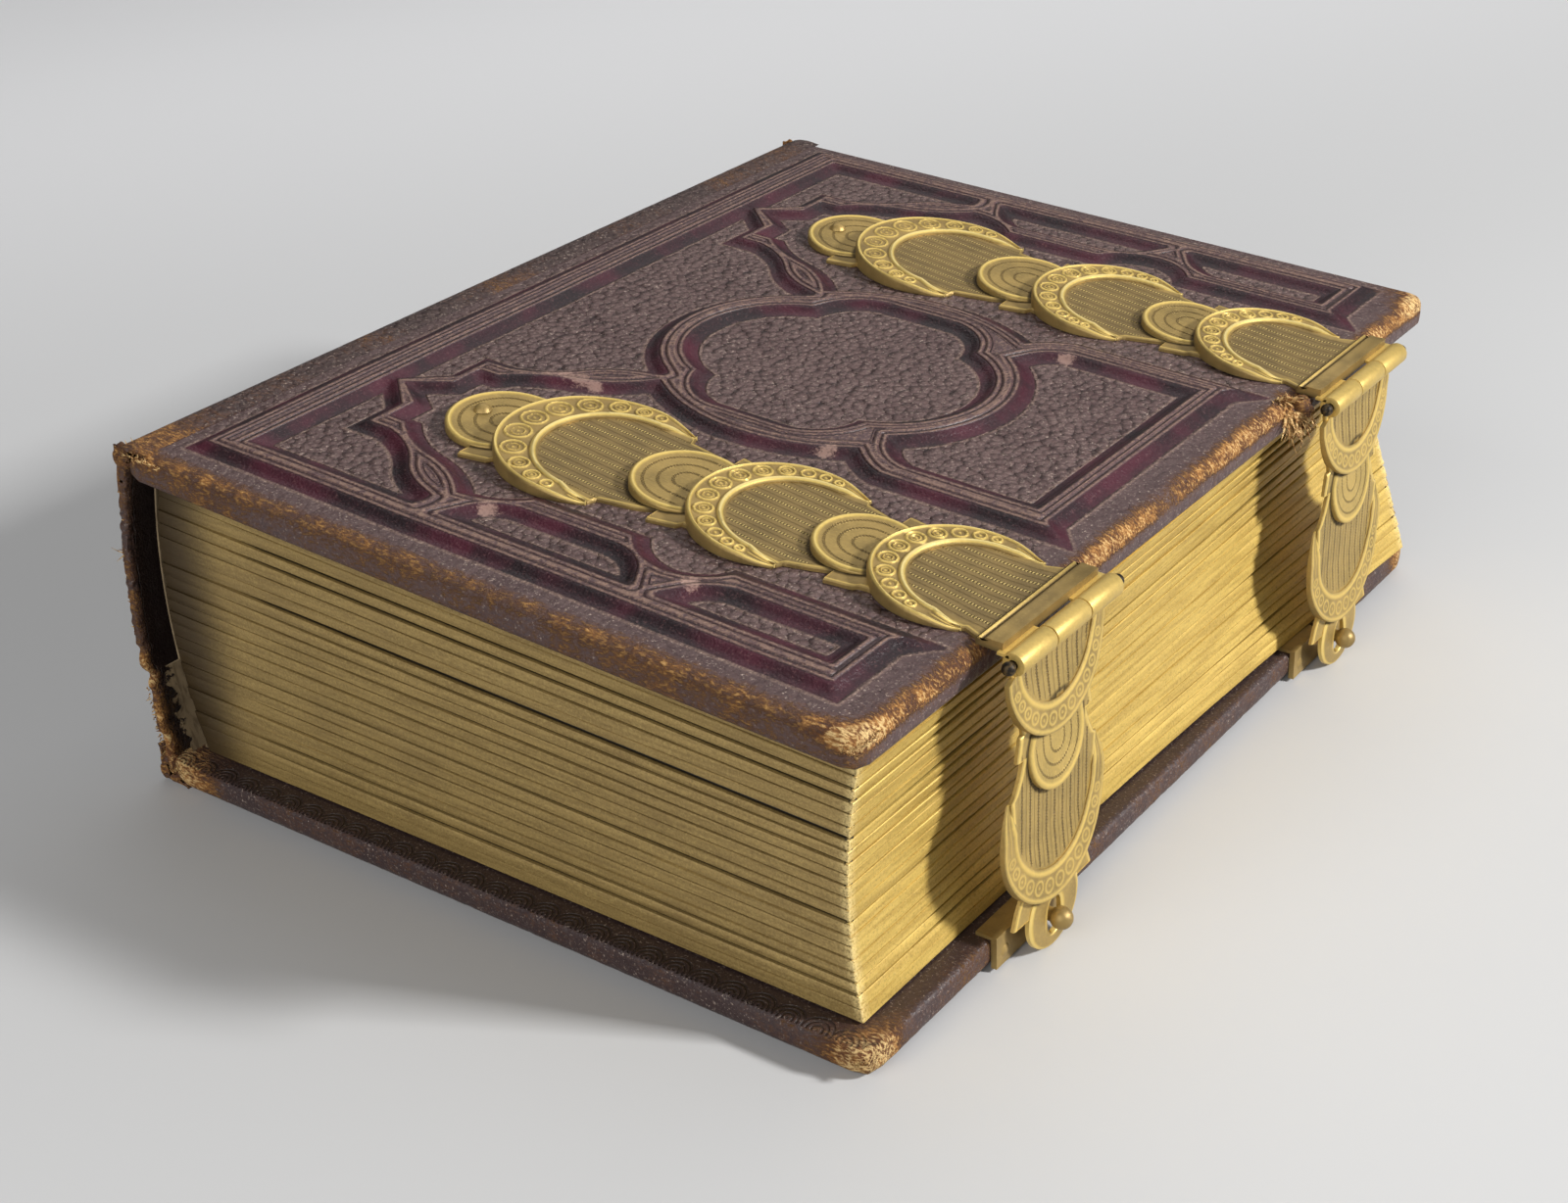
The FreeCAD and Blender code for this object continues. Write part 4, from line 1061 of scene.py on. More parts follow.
def strap_bar(pile, place):
    """Bar across the strap: a thin ridge and a flat band, carried from side to side."""
    u = np.linspace(5.4, 1.8, 26)
    h = 0.90 + 0.32 * bump(u - 4.95, 0.4) + 0.5 * step(u, 4.4, 4.0) - 0.06 * bump(u - 3.0, 0.9)
    u = np.concatenate([[5.4], u, [1.8]])
    h = np.concatenate([[0.05], h, [0.05]])
    w = np.array([-10.75, -10.75, -10.7, 10.7, 10.75, 10.75])[:, None]
    h = np.maximum(0.05, h - np.array([0.1, 0.04, 0, 0, 0.04, 0.1])[:, None])
    # painted shade: the bar's faces below 1 mm are darkened through the dirt mark
    pile.tube(place(u, w, h), {"polish_and_light": 0.05 + 0.4 * bump(u - 4.95, 0.4), "grime_and_shade": 0.7 * (h < 1.0)})


TONGUE = [(2.2, 0.1), (2.2, 0.45), (0.6, 0.45), (0.6, 0.1)]

for end, axis in CLASP_AXES.items():
    def on_strap(u, w, h):
        """Strap lengths to the album: X is the hinge less u, and the height is above the cover."""
        u, w, h = np.broadcast_arrays(u, w, h)
        return on_front(np.stack([FORE + HINGE_OUT - u, axis - w, h], -1))

    def on_knuckle(u, w, h):
        """The same, from the hinge's axis."""
        return on_strap(u, w, np.asarray(h) - HINGE_DROP)

    pile = Pile(BRASS_MARKS)
    outlines, fields = scale_row(
        pile, STRAP_SCALES, STRAP_FLOORS, on_strap, hollow=0.735, shift=0.16, crisp=1.0, disc_crisp=0.7)
    plate(pile, STRAP_WIDTHS, fields, PLATE_FLOOR, on_strap, outlines[::2], lined_until=9.0)
    strap_bar(pile, on_strap)
    for low, high in ((-11.4, -3.95), (3.95, 11.4)):
        knuckle(pile, low, high, on_knuckle)
        slab(pile, TONGUE, low, high, on_strap, 0.5)
    pile.finish(end + "_strap_stamped", "front_cover", [end + "_strap"], STAMPED_BRASS, "brass",
                BRASS_SHARP)

# %% [markdown]
# ## The hasps
# A hasp hangs from the middle knuckle. It is the same row of scales, cut straight at the top,
# and ends in a round lobe with an oval slot that drops over the stud.

# %% Hasps
HASP_SCALES = [
    ("crescent", 25.7, 11.8, 11.8, 1.9), ("disc", 15.6, 6.3, 6.3, 1.75),
    ("crescent", 2.8, 11.0, 11.0, 1.9)]
HASP_WIDTHS = [
    (2.0, 10.2), (9.0, 8.0), (11.6, 7.4), (11.8, 8.0), (14.9, 8.7), (15.0, 7.2), (17.5, 8.2),
    (19.3, 9.2), (19.8, 9.9), (22, 9.7), (26, 9.2), (34.0, 7.0), (36.2, 8.4), (38.4, 9.3),
    (38.6, 4.3)]
HASP_FLOORS = [0.04, 0.08, 0.10]
HASP_BACK = 1.5     # from the hinge's axis in to the back of the hasp


def lobe(pile, place):
    """Round lobe with its slot: rings morph from the slot, an oval, to the lobe's circle, then
    round its edge and back under it."""
    turns = np.linspace(0, 2 * math.pi, 120, endpoint=False)
    slot_u = 41.0 + 2.7 * np.sign(np.cos(turns)) * abs(np.cos(turns)) ** 0.9
    slot_w = 1.65 * np.sign(np.sin(turns)) * abs(np.sin(turns)) ** 0.85
    edge_u, edge_w = 39.9 + 5.5 * np.cos(turns), 5.9 * np.sin(turns)
    share = np.array([0, 0, 0.06, 0.2, 0.5, 0.8, 0.93, 1.0, 1.0, 1.0, 0.5])[:, None]
    h = np.array([0.06, 0.68, 0.8, 0.8, 0.8, 0.8, 0.76, 0.62, 0.3, 0.05, 0.05])[:, None]
    u, w = slot_u + share * (edge_u - slot_u), slot_w + share * (edge_w - slot_w)
    pile.tube(place(u, w, h), {
        "polish_and_light": 0.25 + 0.5 * ((share > 0.9) | (share < 0.1)),
        "grime_and_shade": grime_near(u, w, [HASP_SCALES[0][1:4]])}, around=True)


NECK = [(-1.48, 0.2), (-0.72, 0.2), (-0.72, -2.6), (-1.48, -2.6)]
MIDDLE_KNUCKLE = 3.8

for end, axis in CLASP_AXES.items():
    def on_hasp(u, w, h):
        """Hasp lengths to the album: it hangs down from the hinge, 1.5 mm behind its axis."""
        u, w, h = np.broadcast_arrays(u, w, h)
        return np.stack([HINGE[0] - HASP_BACK + h, axis + w, HINGE[2] - u], -1)

    def round_hinge(u, w, h):
        """Lengths out from, along and up from the hinge's axis."""
        u, w, h = np.broadcast_arrays(u, w, h)
        return np.stack([HINGE[0] + u, axis + w, HINGE[2] + h], -1)

    pile = Pile(BRASS_MARKS)
    # the low crisp of the hasps also paints them more polished, as painted light
    outlines, fields = scale_row(
        pile, HASP_SCALES, HASP_FLOORS, on_hasp, hollow=0.74, shift=0.12, crisp=0.3, disc_crisp=0.3)
    plate(pile, HASP_WIDTHS, fields, PLATE_FLOOR, on_hasp, outlines[1:2], crisp=0.25)
    lobe(pile, on_hasp)
    knuckle(pile, -MIDDLE_KNUCKLE, MIDDLE_KNUCKLE, round_hinge)
    slab(pile, NECK, -MIDDLE_KNUCKLE, MIDDLE_KNUCKLE, round_hinge, 0.4)
    pile.finish(end + "_hasp_stamped", end + "_hasp_body", [end + "_hasp"], STAMPED_BRASS, "brass",
                BRASS_SHARP)

# %% [markdown]
# ## The leaves
# The leaves are thick cards whose edges were gilded together in a press. They could be 22
# slabs, but they are one block that opens nowhere, so one closed skin is right: a column of
# rings, eight to a leaf, with a groove between leaves that is painted dark, as painted shade.
# The grooves differ in width, close up towards the back, and at the head the lower leaves
# splay out.

# %% Gilt finish
def gilt():
    """Gilded card edges: gold leaf, rubbed along the leaf, over cream card. The fore-edge is painted
    brighter gold than the tail and head, as painted light, and the grooves are painted dark, as painted
    shade.
    """
    finish = Finish("gilt leaves")
    streak = finish.noise(1.2, 4.0, stretch=(0.12, 0.12, 2.2))
    speck = finish.noise(0.5, 5.0, rough=0.7)
    grit = finish.noise(0.3, 3.0, rough=0.6)
    broad = finish.noise(14.0, 4.0)
    groove, face, back, fore = (finish.mark(m) for m in ("groove", "face", "back", "fore"))
    near_spine = finish.axis(0) + (broad - 0.5) * 5.0
    bright = finish.mix(streak.step(0.3, 0.7), (194, 160, 76), (224, 191, 98))
    gold = finish.coats(
        finish.mix(streak.step(0.3, 0.7), (152, 126, 74), (176, 148, 90)),
        # painted light: the fore-edge faces, lit by the window, get a brighter gold than the tail and
        # head
        (fore * 0.85, bright),
        (grit.step(0.5, 0.7) * 0.3, (226, 200, 128)),
        ((1.0 - grit.step(0.34, 0.46)) * 0.3, (96, 76, 42)),
        (broad.step(0.45, 0.75) * 0.3 * (1.0 - fore), (128, 104, 64)),
        (speck.step(0.56, 0.74) * 0.45, (112, 90, 54)),
        (near_spine.step(-46.0, -57.0) * (1.0 - fore) * 0.75, (62, 46, 26)),
        (back * 0.85, (60, 46, 26)),
        (finish.mark("corner") * grit.step(0.3, 0.6), (244, 218, 150)),
        # painted shade: the grooves between the leaves are painted near black
        (groove.step(0.25, 0.85), (34, 26, 14)))
    card = finish.coats(
        finish.mix(broad.step(0.4, 0.7), (222, 210, 184), (206, 190, 158)),
        (speck.step(0.66, 0.8) * 0.3, (178, 156, 118)))
    colour = finish.mix(face, gold, card)
    metal = (1.0 - face) * (1.0 - groove) * 0.3
    return finish.set(Base_Color=colour, Metallic=metal, Roughness=0.42 + speck * 0.18 + face * 0.3,
                      Normal=finish.relief(streak * 0.05 + speck * 0.03))


GILT = gilt()
print("gilt finish made")

# %% Leaves
LEAVES = 22
LEAF_INSET = 4.2    # of the leaves from the covers' ends


def leaf_rows(count):
    """Rows of the block from bottom to top, as (share of the thickness, leaf, half gap in
    millimetres, way in, depth): eight rows a leaf, of seeded thickness."""
    rng = np.random.default_rng(7)
    thick = 1 + 0.12 * rng.uniform(-1, 1, count)
    low = np.concatenate([[0], np.cumsum(thick) / thick.sum()])
    rows = []
    for leaf in range(count):
        for near, way, depth in (
                (0, 0, 1.0), (0, 0.9, 0.9), (0, 1, 0.14), (0, 1.9, 0.02), (0.5, 0, 0.0),
                (1, -1.9, 0.02), (1, -1, 0.14), (1, -0.9, 0.9)):
            rows.append((low[leaf] + near * (low[leaf + 1] - low[leaf]), leaf, near, way, depth))
    return np.array(rows[1:] + [(1.0, count - 1, 1, 0, 0.02)])


def leaf_block():
    """Skin of the leaves. A ring runs round the tail, fore-edge, head and back at one share k
    of the thickness; the fore-edge is a parabola in k, deeper at the head, where the leaves
    under the middle splay out as (0.6 - k) to the power 0.95."""
    t = np.concatenate([[0.0008, 0.004], np.linspace(0.012, 0.988, 68), [0.996, 0.9992]])
    side = len(t)
    zero, one = np.zeros(side), np.ones(side)
    across_x = np.concatenate([t, one, t[::-1], zero])
    along_y = np.concatenate([zero, t, one, t[::-1]])
    out_x = np.concatenate([zero, one, zero, -one])
    out_y = np.concatenate([-one, zero, one, zero])
    k, leaf, near, way, depth = (column[:, None] for column in leaf_rows(LEAVES).T)
    fore_tail = 110.3 + 1.9 * (np.clip(abs(k - 0.45), 0, 0.5) / 0.5) ** 2
    fore_head = 109.4 + 7.2 * (np.clip(0.6 - k, 0, 1) / 0.6) ** 0.95
    fore_head = fore_head + 2.6 * (np.clip(k - 0.6, 0, 1) / 0.4) ** 2
    splay = along_y ** 2.2
    fore = fore_tail * (1 - splay) + fore_head * splay
    back = 0.15 - 2.9 * (1 - (2 * k - 1) ** 2)
    x = back + (fore - back) * across_x
    y = LEAF_INSET + (HEIGHT - 2 * LEAF_INSET) * along_y + 0 * x
    low = 4.92 + 0.65 * splay * across_x
    high = SPINE_TOP - 4.94 - x * math.tan(WEDGE)
    rng = np.random.default_rng(3)
    gaps = 0.07 + 0.12 * rng.uniform(0, 1, 24) ** 2
    gaps[[3, 8, 15, 18, 19]] = (0.17, 0.19, 0.24, 0.22, 0.18)
    seam = np.clip(leaf + near, 0, LEAVES).astype(int)
    wander = 0.5 + 0.5 * cloud(seam * 7.3 + across_x * 2.2, along_y * 2.6 + seam * 3.1, 1.0, 31)
    closing = step(x, 3, 26)
    by_clasps = sum(np.exp(-((y - axis + 8) / 9.0) ** 2) for axis in CLASP_AXES.values())
    tight = 1 - 0.55 * np.clip(out_x, 0, 1) * (1 - np.clip(by_clasps, 0, 1))
    half_gap = gaps[seam] * (1.1 + 0.6 * wander) * (0.35 + 0.65 * closing) * tight
    z = low + (high - low) * k + way * half_gap * (0 < k) * (k < 1)
    shove = 0.16 * cloud(leaf * 5.7 + 3 * across_x, along_y * 3 + leaf * 2.3, 1.0, 32)
    depth = depth * (0.25 + 0.75 * closing) * (0.3 + 0.7 * tight) - np.minimum(shove, 0.12)
    x, y = x - out_x * depth, y - out_y * depth
    pile = Pile(["groove", "face", "back", "fore", "corner"])
    corner = np.exp(-((1 - across_x) / 0.008) ** 2)
    corner = corner * np.exp(-(np.minimum(along_y, 1 - along_y) / 0.006) ** 2)
    pile.tube(np.stack([x, y, z], -1), {
        "groove": step(depth, 0.2, 0.75), "back": 1 - step(x, -2, 12), "fore": np.clip(out_x, 0, 1),
        "corner": corner}, caps=False)
    every = np.concatenate(pile.points)
    for row in (0, len(k) - 1):
        border = row * 4 * side + np.arange(4 * side)
        loop = every[border]
        ring = pile.add(loop + (loop.mean(0) - loop) * 0.004, {"face": 1.0})
        pile.join(border, ring)
        pile.close(ring)
        if row == 0:
            pile.faces[-2:] = [f[:, ::-1] for f in pile.faces[-2:]]
    return pile.finish("leaf_block", "book_block", ["page_block"], GILT, "gilt_leaves", sharp=35)


leaf_block()

# %% [markdown]
# ## The hollow back
# The leather back stands off the leaves as a hollow tube. At the tail it has split open: its
# end is thick, where the leather was doubled over, and frayed, and a piece has torn away low
# down. A bent sheet with a ragged end is enough. Where the leather crosses a joint it is a
# strip of its own.

# %% Spine leather
LEATHER_MARKS = ["worn", "foot", "inner"]


def circle_through(p, q, r):
    """Centre and radius of the circle through three complex numbers. With w the third place
    seen from the first two, the centre is p + (q - p)(w - |w|^2) / (2 i Im w)."""
    w = (r - p) / (q - p)
    centre = p + (q - p) * (w - abs(w) ** 2) / (2j * w.imag)
    return centre, abs(centre - p)


def on_cover(x, z):
    """Point of the front cover as X and Z."""
    point = on_front([x, 0, z])
    return point[0], point[2]


FRONT_TURN = complex(*on_cover(FRONT_LEFT - 1.5, -1.9))
BACK_TURN = complex(BACK_LEFT - 1.5, 0.9)
SPINE_CENTRE, SPINE_RADIUS = circle_through(FRONT_TURN, complex(-7.0, SPINE_TOP / 2), BACK_TURN)


def spine_place(share, depth, y):
    """Point of the back: share runs from the front joint to the back joint, depth is measured
    inwards from the outer face."""
    first = np.angle(FRONT_TURN - SPINE_CENTRE) % (2 * math.pi)
    last = np.angle(BACK_TURN - SPINE_CENTRE) % (2 * math.pi)
    place = SPINE_CENTRE + (SPINE_RADIUS - depth) * np.exp(1j * (first + (last - first) * share))
    return np.stack([place.real, y + 0 * place.real, place.imag], -1)


def spine_back():
    """Ring k of the sheet is its outline at one height, out along the outer face and back
    along the inner one. Its tail end is ragged, and a little torn at two thirds down."""
    share = np.linspace(0.013, 0.987, 170)[:, None]
    wide = np.concatenate([[0, 0.002, 0.006], np.linspace(0.012, 0.99, 110), [0.998, 1.0]])
    along = np.concatenate([wide, wide[::-1]])[None]
    inner = np.concatenate([wide * 0, wide * 0 + 1])[None]
    ragged = 0.3 + 0.7 * step(share, 0.5, 0.7)
    tail = 0.55 + 0.35 * ragged * cloud(share * 46, 0 * share, 1.0, 41)
    tail = tail + 0.12 * cloud(share * 130, 0 * share, 1.0, 42)
    tail = tail + 0.5 * bump(share - 0.685, 0.03) + 0.3 * bump(share - 0.60, 0.02)
    y = tail + (HEIGHT - 0.4 - tail) * along
    from_end = np.minimum(y - tail, HEIGHT - y)
    thick = 1.15 + 0.75 * np.exp(-(from_end / 1.8) ** 2)
    low = step(share, 0.62, 0.74) * np.exp(-(y / 12) ** 2)
    rough = 0.16 * ragged * abs(cloud(share * 70, y * 1.1, 1.0, 43)) * np.exp(-(from_end / 2.5) ** 2)
    waves = 0.16 * (1 + cloud(share * 9, y, 9.0, 44)) * (1 - inner)
    rolled = 0.45 * np.exp(-(from_end / 0.35) ** 2) * (1 - 2 * inner) * 0.8
    depth = 0.05 + inner * thick + 0.8 * low + waves + rough + rolled
    worn = (0.75 + 0.35 * cloud(share * 30, 0 * share, 1.0, 45)) * np.exp(-(from_end / 1.6) ** 2) + 0.1
    worn = worn * (0.62 + 0.38 * step(share, 0.48, 0.66))
    worn = np.maximum(worn, 0.75 * low * step(share, 0.62, 0.7))
    by_front = np.exp(-((share - 0.02) / 0.05) ** 2) * np.exp(-(y / 5) ** 2)
    worn = np.maximum(worn, 0.2 + 0.5 * by_front - 0.1)
    pile = Pile(LEATHER_MARKS)
    pile.tube(spine_place(share + 0 * y, depth, y), {
        # painted shade: the inner face of the back is darkened by the inner mark
        "worn": worn, "foot": -3.0, "inner": inner * step(from_end, 0.4, 2.5) * 0.85})
    return pile.finish("leather_back", "book_block", ["spine_leather"], SHADED_PLAIN_LEATHER,
                       "cover_leather", LEATHER_SHARP)


spine_back()


# %% Joint strips
def rounded_line(points, times=3):
    """Corner cutting: each side is replaced by its points at a quarter and three quarters."""
    points = np.asarray(points, float)
    for _ in range(times):
        quarter = points[:-1] * 0.75 + points[1:] * 0.25
        three = points[:-1] * 0.25 + points[1:] * 0.75
        middle = np.stack([quarter, three], 1).reshape(-1, points.shape[1])
        points = np.concatenate([points[:1], middle, points[-1:]])
    return points


def joint_strip(name, profile, thickness, bodies, worn):
    """Strip of leather along a joint: a rounded profile in X and Z, thinned to nothing at both
    edges, carried from the tail to the head."""
    tail, head = 0.35, HEIGHT - 0.5
    line = rounded_line(profile)
    way = np.gradient(line, axis=0)
    way = way / np.hypot(*way.T)[:, None]
    edge = np.linspace(-1, 1, len(line))
    inward = np.stack([way[:, 1], -way[:, 0]], -1)
    y = np.linspace(0, 1, 230)[2:-2]
    y = np.concatenate([[0, 0.0012, 0.004], y, [0.996, 0.9988, 1.0]])[:, None]
    y = tail + (head - tail) * y
    ends = np.exp(-((y - tail) / 0.35) ** 2) + np.exp(-((head - y) / 0.35) ** 2)
    thick = thickness * (1 - edge ** 8) * (1 + 2.6 * np.exp(-((y - tail) / 2.2) ** 2)) + 0.02
    under = line + inward * thick[..., None]
    middle = line + inward * thick[..., None] / 2
    loop = np.concatenate([line + 0 * under, under[:, ::-1]], 1)
    middle = np.concatenate([middle, middle[:, ::-1]], 1)
    ragged = 0.3 * cloud(y, 0 * y, 1.1, 51) * np.exp(-((y - tail) / 1.5) ** 2)
    x, z = np.moveaxis(loop + (middle - loop) * (ends * 0.55)[..., None], -1, 0)
    lump = 0.12 * cloud(y + 0 * x, 3 * np.arange(loop.shape[1]) / 8, 2.5, 52)
    mark = worn + 0.75 * np.exp(-((y - tail) / 11) ** 2) + 0.3 * cloud(y, 0 * y, 9, 53)
    pile = Pile(LEATHER_MARKS)
    pile.tube(np.stack([x + abs(lump) * 0.4, y + ragged + 0 * x, z], -1), {"worn": mark, "foot": -3.0})
    row = [tuple((np.array([x, tail, z]) + ALBUM_CORNER) * MM) for x, z in (profile[0], profile[-1])]
    return pile.finish(name, (bodies[0], bodies[1], row[0], row[1]), [], SHADED_PLAIN_LEATHER,
                       "cover_leather", LEATHER_SHARP)


def on_spine(share, out):
    """Point outside the back as X and Z."""
    point = spine_place(share, -out, 0.0)
    return point[0], point[2]


joint_strip("front_joint_leather", [
    on_spine(0.115, -0.02), on_spine(0.085, 0.28), on_spine(0.03, 0.42), on_cover(-2.75, -0.95),
    on_cover(-1.4, 0.05), on_cover(0.6, 0.26), on_cover(2.0, 0.22), on_cover(3.4, 0.03)],
    0.32, ("book_block", "front_cover"), 0.24)
joint_strip("back_joint_leather", [
    (-1.2, 0.02), (-2.4, 0.03), (-4.4, 0.06), (-5.9, 0.35), on_spine(0.965, 0.38),
    on_spine(0.93, 0.28), on_spine(0.90, -0.02)],
    0.30, ("back_cover", "book_block"), 0.2)


# %% [markdown]
# ## Loose fibres
# At the torn places the leather ends in fibres. A particle system would make hair by the
# thousand; here each fibre is a tapered, bent spike of its own, and some hundreds are enough.

# %% Fibres
def spike(pile, rng, start, end, way, length, thick, worn):
    """One fibre: it starts near a line, leans off the way that it is given, and bends as the
    square of the share along it. Three-sided rings make it taper to a point."""
    root = start + (end - start) * rng.uniform() + rng.normal(0, 0.12, 3)
    aim = np.array(way) / np.linalg.norm(way) + rng.normal(0, 0.45, 3)
    bend = rng.normal(0, 0.35, 3)
    reach = length * rng.uniform(0.35, 1.0)
    side = np.cross(aim, [0.3, 0.5, 0.8])
    side /= np.linalg.norm(side)
    other = np.cross(aim, side) / np.linalg.norm(aim)
    t = np.array([0, 0.35, 0.7, 1.0])[:, None, None]
    r = np.array([0.13 * thick, 0.11 * thick, 0.07 * thick, 0.02])[:, None, None]
    turn = np.array([0, 2.1, 4.2])[:, None]
    rings = root + aim * reach * t + bend * reach * t * t
    pile.tube(rings + r * (side * np.cos(turn) + other * np.sin(turn)), {"worn": worn, "foot": -3.0})


def wad(pile, centre, radii, seed):
    """Lumpy ball of matted fibres."""
    up = np.linspace(0.1, math.pi - 0.1, 18)[:, None]
    turn = np.linspace(0, 2 * math.pi, 28, endpoint=False)
    x, y, z = np.sin(up) * np.cos(turn), np.sin(up) * np.sin(turn), np.cos(up) + 0 * turn
    lumpy = 1 + 0.22 * cloud(x * 3 + 9, y * 3 + z * 2, 1.0, seed)
    ball = np.stack([x, y, z], -1) * radii * lumpy[..., None]
    pile.tube(centre + ball, {"worn": 0.72, "foot": -3.0})


def fibres(name, body, groups, seed, wads, thick=1.0, worn=1.25):
    """Fibres about 0.25 mm thick at their roots. Each group gives the two ends of the line that
    they start on, the way they point, their length and their number. A wad is given by its
    centre and radii."""
    rng = np.random.default_rng(seed)
    pile = Pile(LEATHER_MARKS)
    for start, end, way, length, count in groups:
        for _ in range(count):
            spike(pile, rng, np.array(start), np.array(end), way, length, thick, worn)
    for centre, radii in wads:
        wad(pile, centre, radii, seed)
    return pile.finish(name, body, [], SHADED_PLAIN_LEATHER, "cover_leather", LEATHER_SHARP)


def cover_line(x0, y0, x1, y1, z, way, length, count):
    """Group of fibres on a line at one height of the front cover."""
    return on_front([x0, y0, z]), on_front([x1, y1, z]), way, length, count


print("each fibre is four rings of three points")

# %% Fibres and wads at the worn ends
TO_HEAD = HEIGHT - 1.2
fibres("front_fibres", "front_cover", [
    cover_line(FRONT_LEFT + 0.3, 0.4, 6, 0.4, -1.2, (0, -0.1, 0.5), 0.7, 60),
    cover_line(FRONT_LEFT + 0.2, 0.6, FRONT_LEFT + 0.2, 9, -0.8, (-0.3, -0.3, 0.8), 0.7, 60),
    cover_line(FORE - 2.5, 0.3, FORE - 0.3, 0.3, -2.0, (0.1, -0.05, 0.2), 0.6, 40),
    cover_line(FORE - 0.5, 0.8, FORE - 0.5, 5, -1.2, (0.4, 0, 0.4), 0.6, 40)], 61, [
    (on_front([-1.1, 0.9, -1.5]), (1.0, 0.75, 1.0)),
    (on_front([-1.1, HEIGHT - 1.0, -1.5]), (1.1, 0.8, 1.0)),
    (on_front([0.1, HEIGHT - 1.1, -1.3]), (1.7, 0.95, 1.05))])
fibres("torn_edge", "front_cover", [
    cover_line(FORE + 0.2, 103.4, FORE + 1.4, 106.8, -3.0, (0.15, -0.15, -1), 2.4, 60),
    cover_line(FORE + 0.2, 102.8, FORE + 1.6, 106.8, -1.6, (0.2, -0.4, -0.9), 2.0, 70),
    cover_line(FORE - 2.0, 103.2, FORE + 0.6, 106.8, -0.3, (0.5, -0.3, 0.2), 1.1, 80)], 64, [
    (on_front([FORE - 0.1, 105.0, -2.3]), (0.8, 1.6, 1.6)),
    (on_front([FORE + 0.9, 106.1, -1.1]), (1.5, 1.0, 1.5))], thick=1.8, worn=1.7)
by_cover, upper, middle, torn, by_table = (
    spine_place(share, 0.8, 0.9) for share in (0.03, 0.3, 0.58, 0.72, 0.96))
fibres("spine_fibres", "book_block", [
    (by_cover, upper, (-0.2, -0.4, 0.4), 0.35, 26), (upper, middle, (-0.4, -0.3, 0.2), 0.4, 26),
    (upper, upper, (-1.0, -0.2, 0.1), 1.4, 10), (torn, by_table, (-0.2, -0.3, -0.4), 0.5, 50)], 62, [
    (on_front([-2.5, 1.2, -2.0]), (1.4, 0.9, 1.7)), ((-5.6, 1.2, 1.9), (1.3, 0.9, 1.7)),
    ((-3.6, 1.1, 1.1), (1.5, 0.8, 0.9)), ((-5.3, 1.2, 3.6), (1.0, 0.9, 1.5)),
    (on_front([-2.5, HEIGHT - 1.3, -2.0]), (1.4, 0.9, 1.7)),
    ((-5.6, HEIGHT - 1.3, 1.9), (1.3, 0.9, 1.7)), ((-1.9, 1.2, 50.6), (1.3, 1.0, 1.4)),
    ((-1.9, TO_HEAD, 50.6), (1.3, 1.0, 1.4)), ((-4.3, TO_HEAD, 1.3), (1.3, 0.8, 0.9))])
fibres("back_fibres", "back_cover", [
    ((BACK_LEFT + 0.5, 0.5, 2.5), (BACK_LEFT + 6, 0.4, 3.5), (-0.1, -0.4, 0.6), 0.6, 60),
    ((FORE - 3, 0.4, 2.0), (FORE - 0.4, 0.5, 3.0), (0.2, -0.2, 0.4), 0.5, 50)], 63, [
    ((-2.9, HEIGHT - 1.1, 1.1), (1.5, 0.8, 0.8)), ((-2.9, TO_HEAD, 2.4), (1.3, 0.9, 1.3))])

# %% [markdown]
# ## Plain pieces
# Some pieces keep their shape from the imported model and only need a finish: the studs, plates,
# pins and nails, the boards inside the leather, and the paper linings inside the covers.

# %% Finishes of the plain pieces
def paper(name, first, second, spots, torn=False):
    """Paper or board: two close colours in clouds, with small spots. The spine lining is torn
    off in a ragged line past the tail of the leaves, 2 mm in from the end of the covers."""
    finish = Finish(name)
    clouds = finish.noise(12.0, 5.0)
    speck = finish.noise(0.6, 4.0, rough=0.7)
    colour = finish.coats(
        finish.mix(clouds.step(0.35, 0.65), first, second), (speck.step(0.6, 0.8) * 0.5, spots))
    if torn:
        threads = finish.noise(0.7, 4.0, stretch=(1.0, 1.0, 0.25))
        colour = finish.mix(threads.step(0.45, 0.65) * 0.5, colour, spots)
        inside = finish.axis(1) + (74.0 - 2.5) + finish.noise(1.3, 4.0) * 5.0
        finish.set(Alpha=inside.step(-0.05, 0.05))
    return finish.set(Base_Color=colour, Roughness=0.8 + speck * 0.1, Normal=finish.relief(speck * 0.04))


def dark_brass():
    """Brass blackened by dirt, for the pins whose ends show."""
    finish = Finish("blackened brass", Metallic=0.6)
    speck = finish.noise(0.5, 4.0)
    colour = finish.mix(speck.step(0.4, 0.65), (30, 24, 17), (84, 68, 42))
    return finish.set(Base_Color=colour, Roughness=0.42 + speck * 0.25)


BOARD = paper("millboard", (132, 118, 98), (150, 136, 114), (96, 82, 64))
LINING = paper("lining paper", (220, 211, 192), (232, 225, 208), (186, 160, 120))
BROWN = paper("brown lining", (126, 108, 82), (158, 138, 106), (74, 56, 38), torn=True)
DARK = dark_brass()
PLAIN = {"spine_lining": BROWN, "strap_nails": PLAIN_BRASS, "catch_nails": PLAIN_BRASS}
for cover in ("front", "back"):
    PLAIN.update({cover + "_board": BOARD, cover + "_pastedown": LINING})
for end in CLASP_AXES:
    PLAIN.update({end + "_hinge_pin": DARK, end + "_catch_plate": PLAIN_BRASS})
    PLAIN[end + "_stud"] = PLAIN_BRASS
for node, material in PLAIN.items():
    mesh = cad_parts[node].data
    for i in range(len(mesh.materials)):
        mesh.materials[i] = material
print("plain pieces finished:", len(PLAIN))

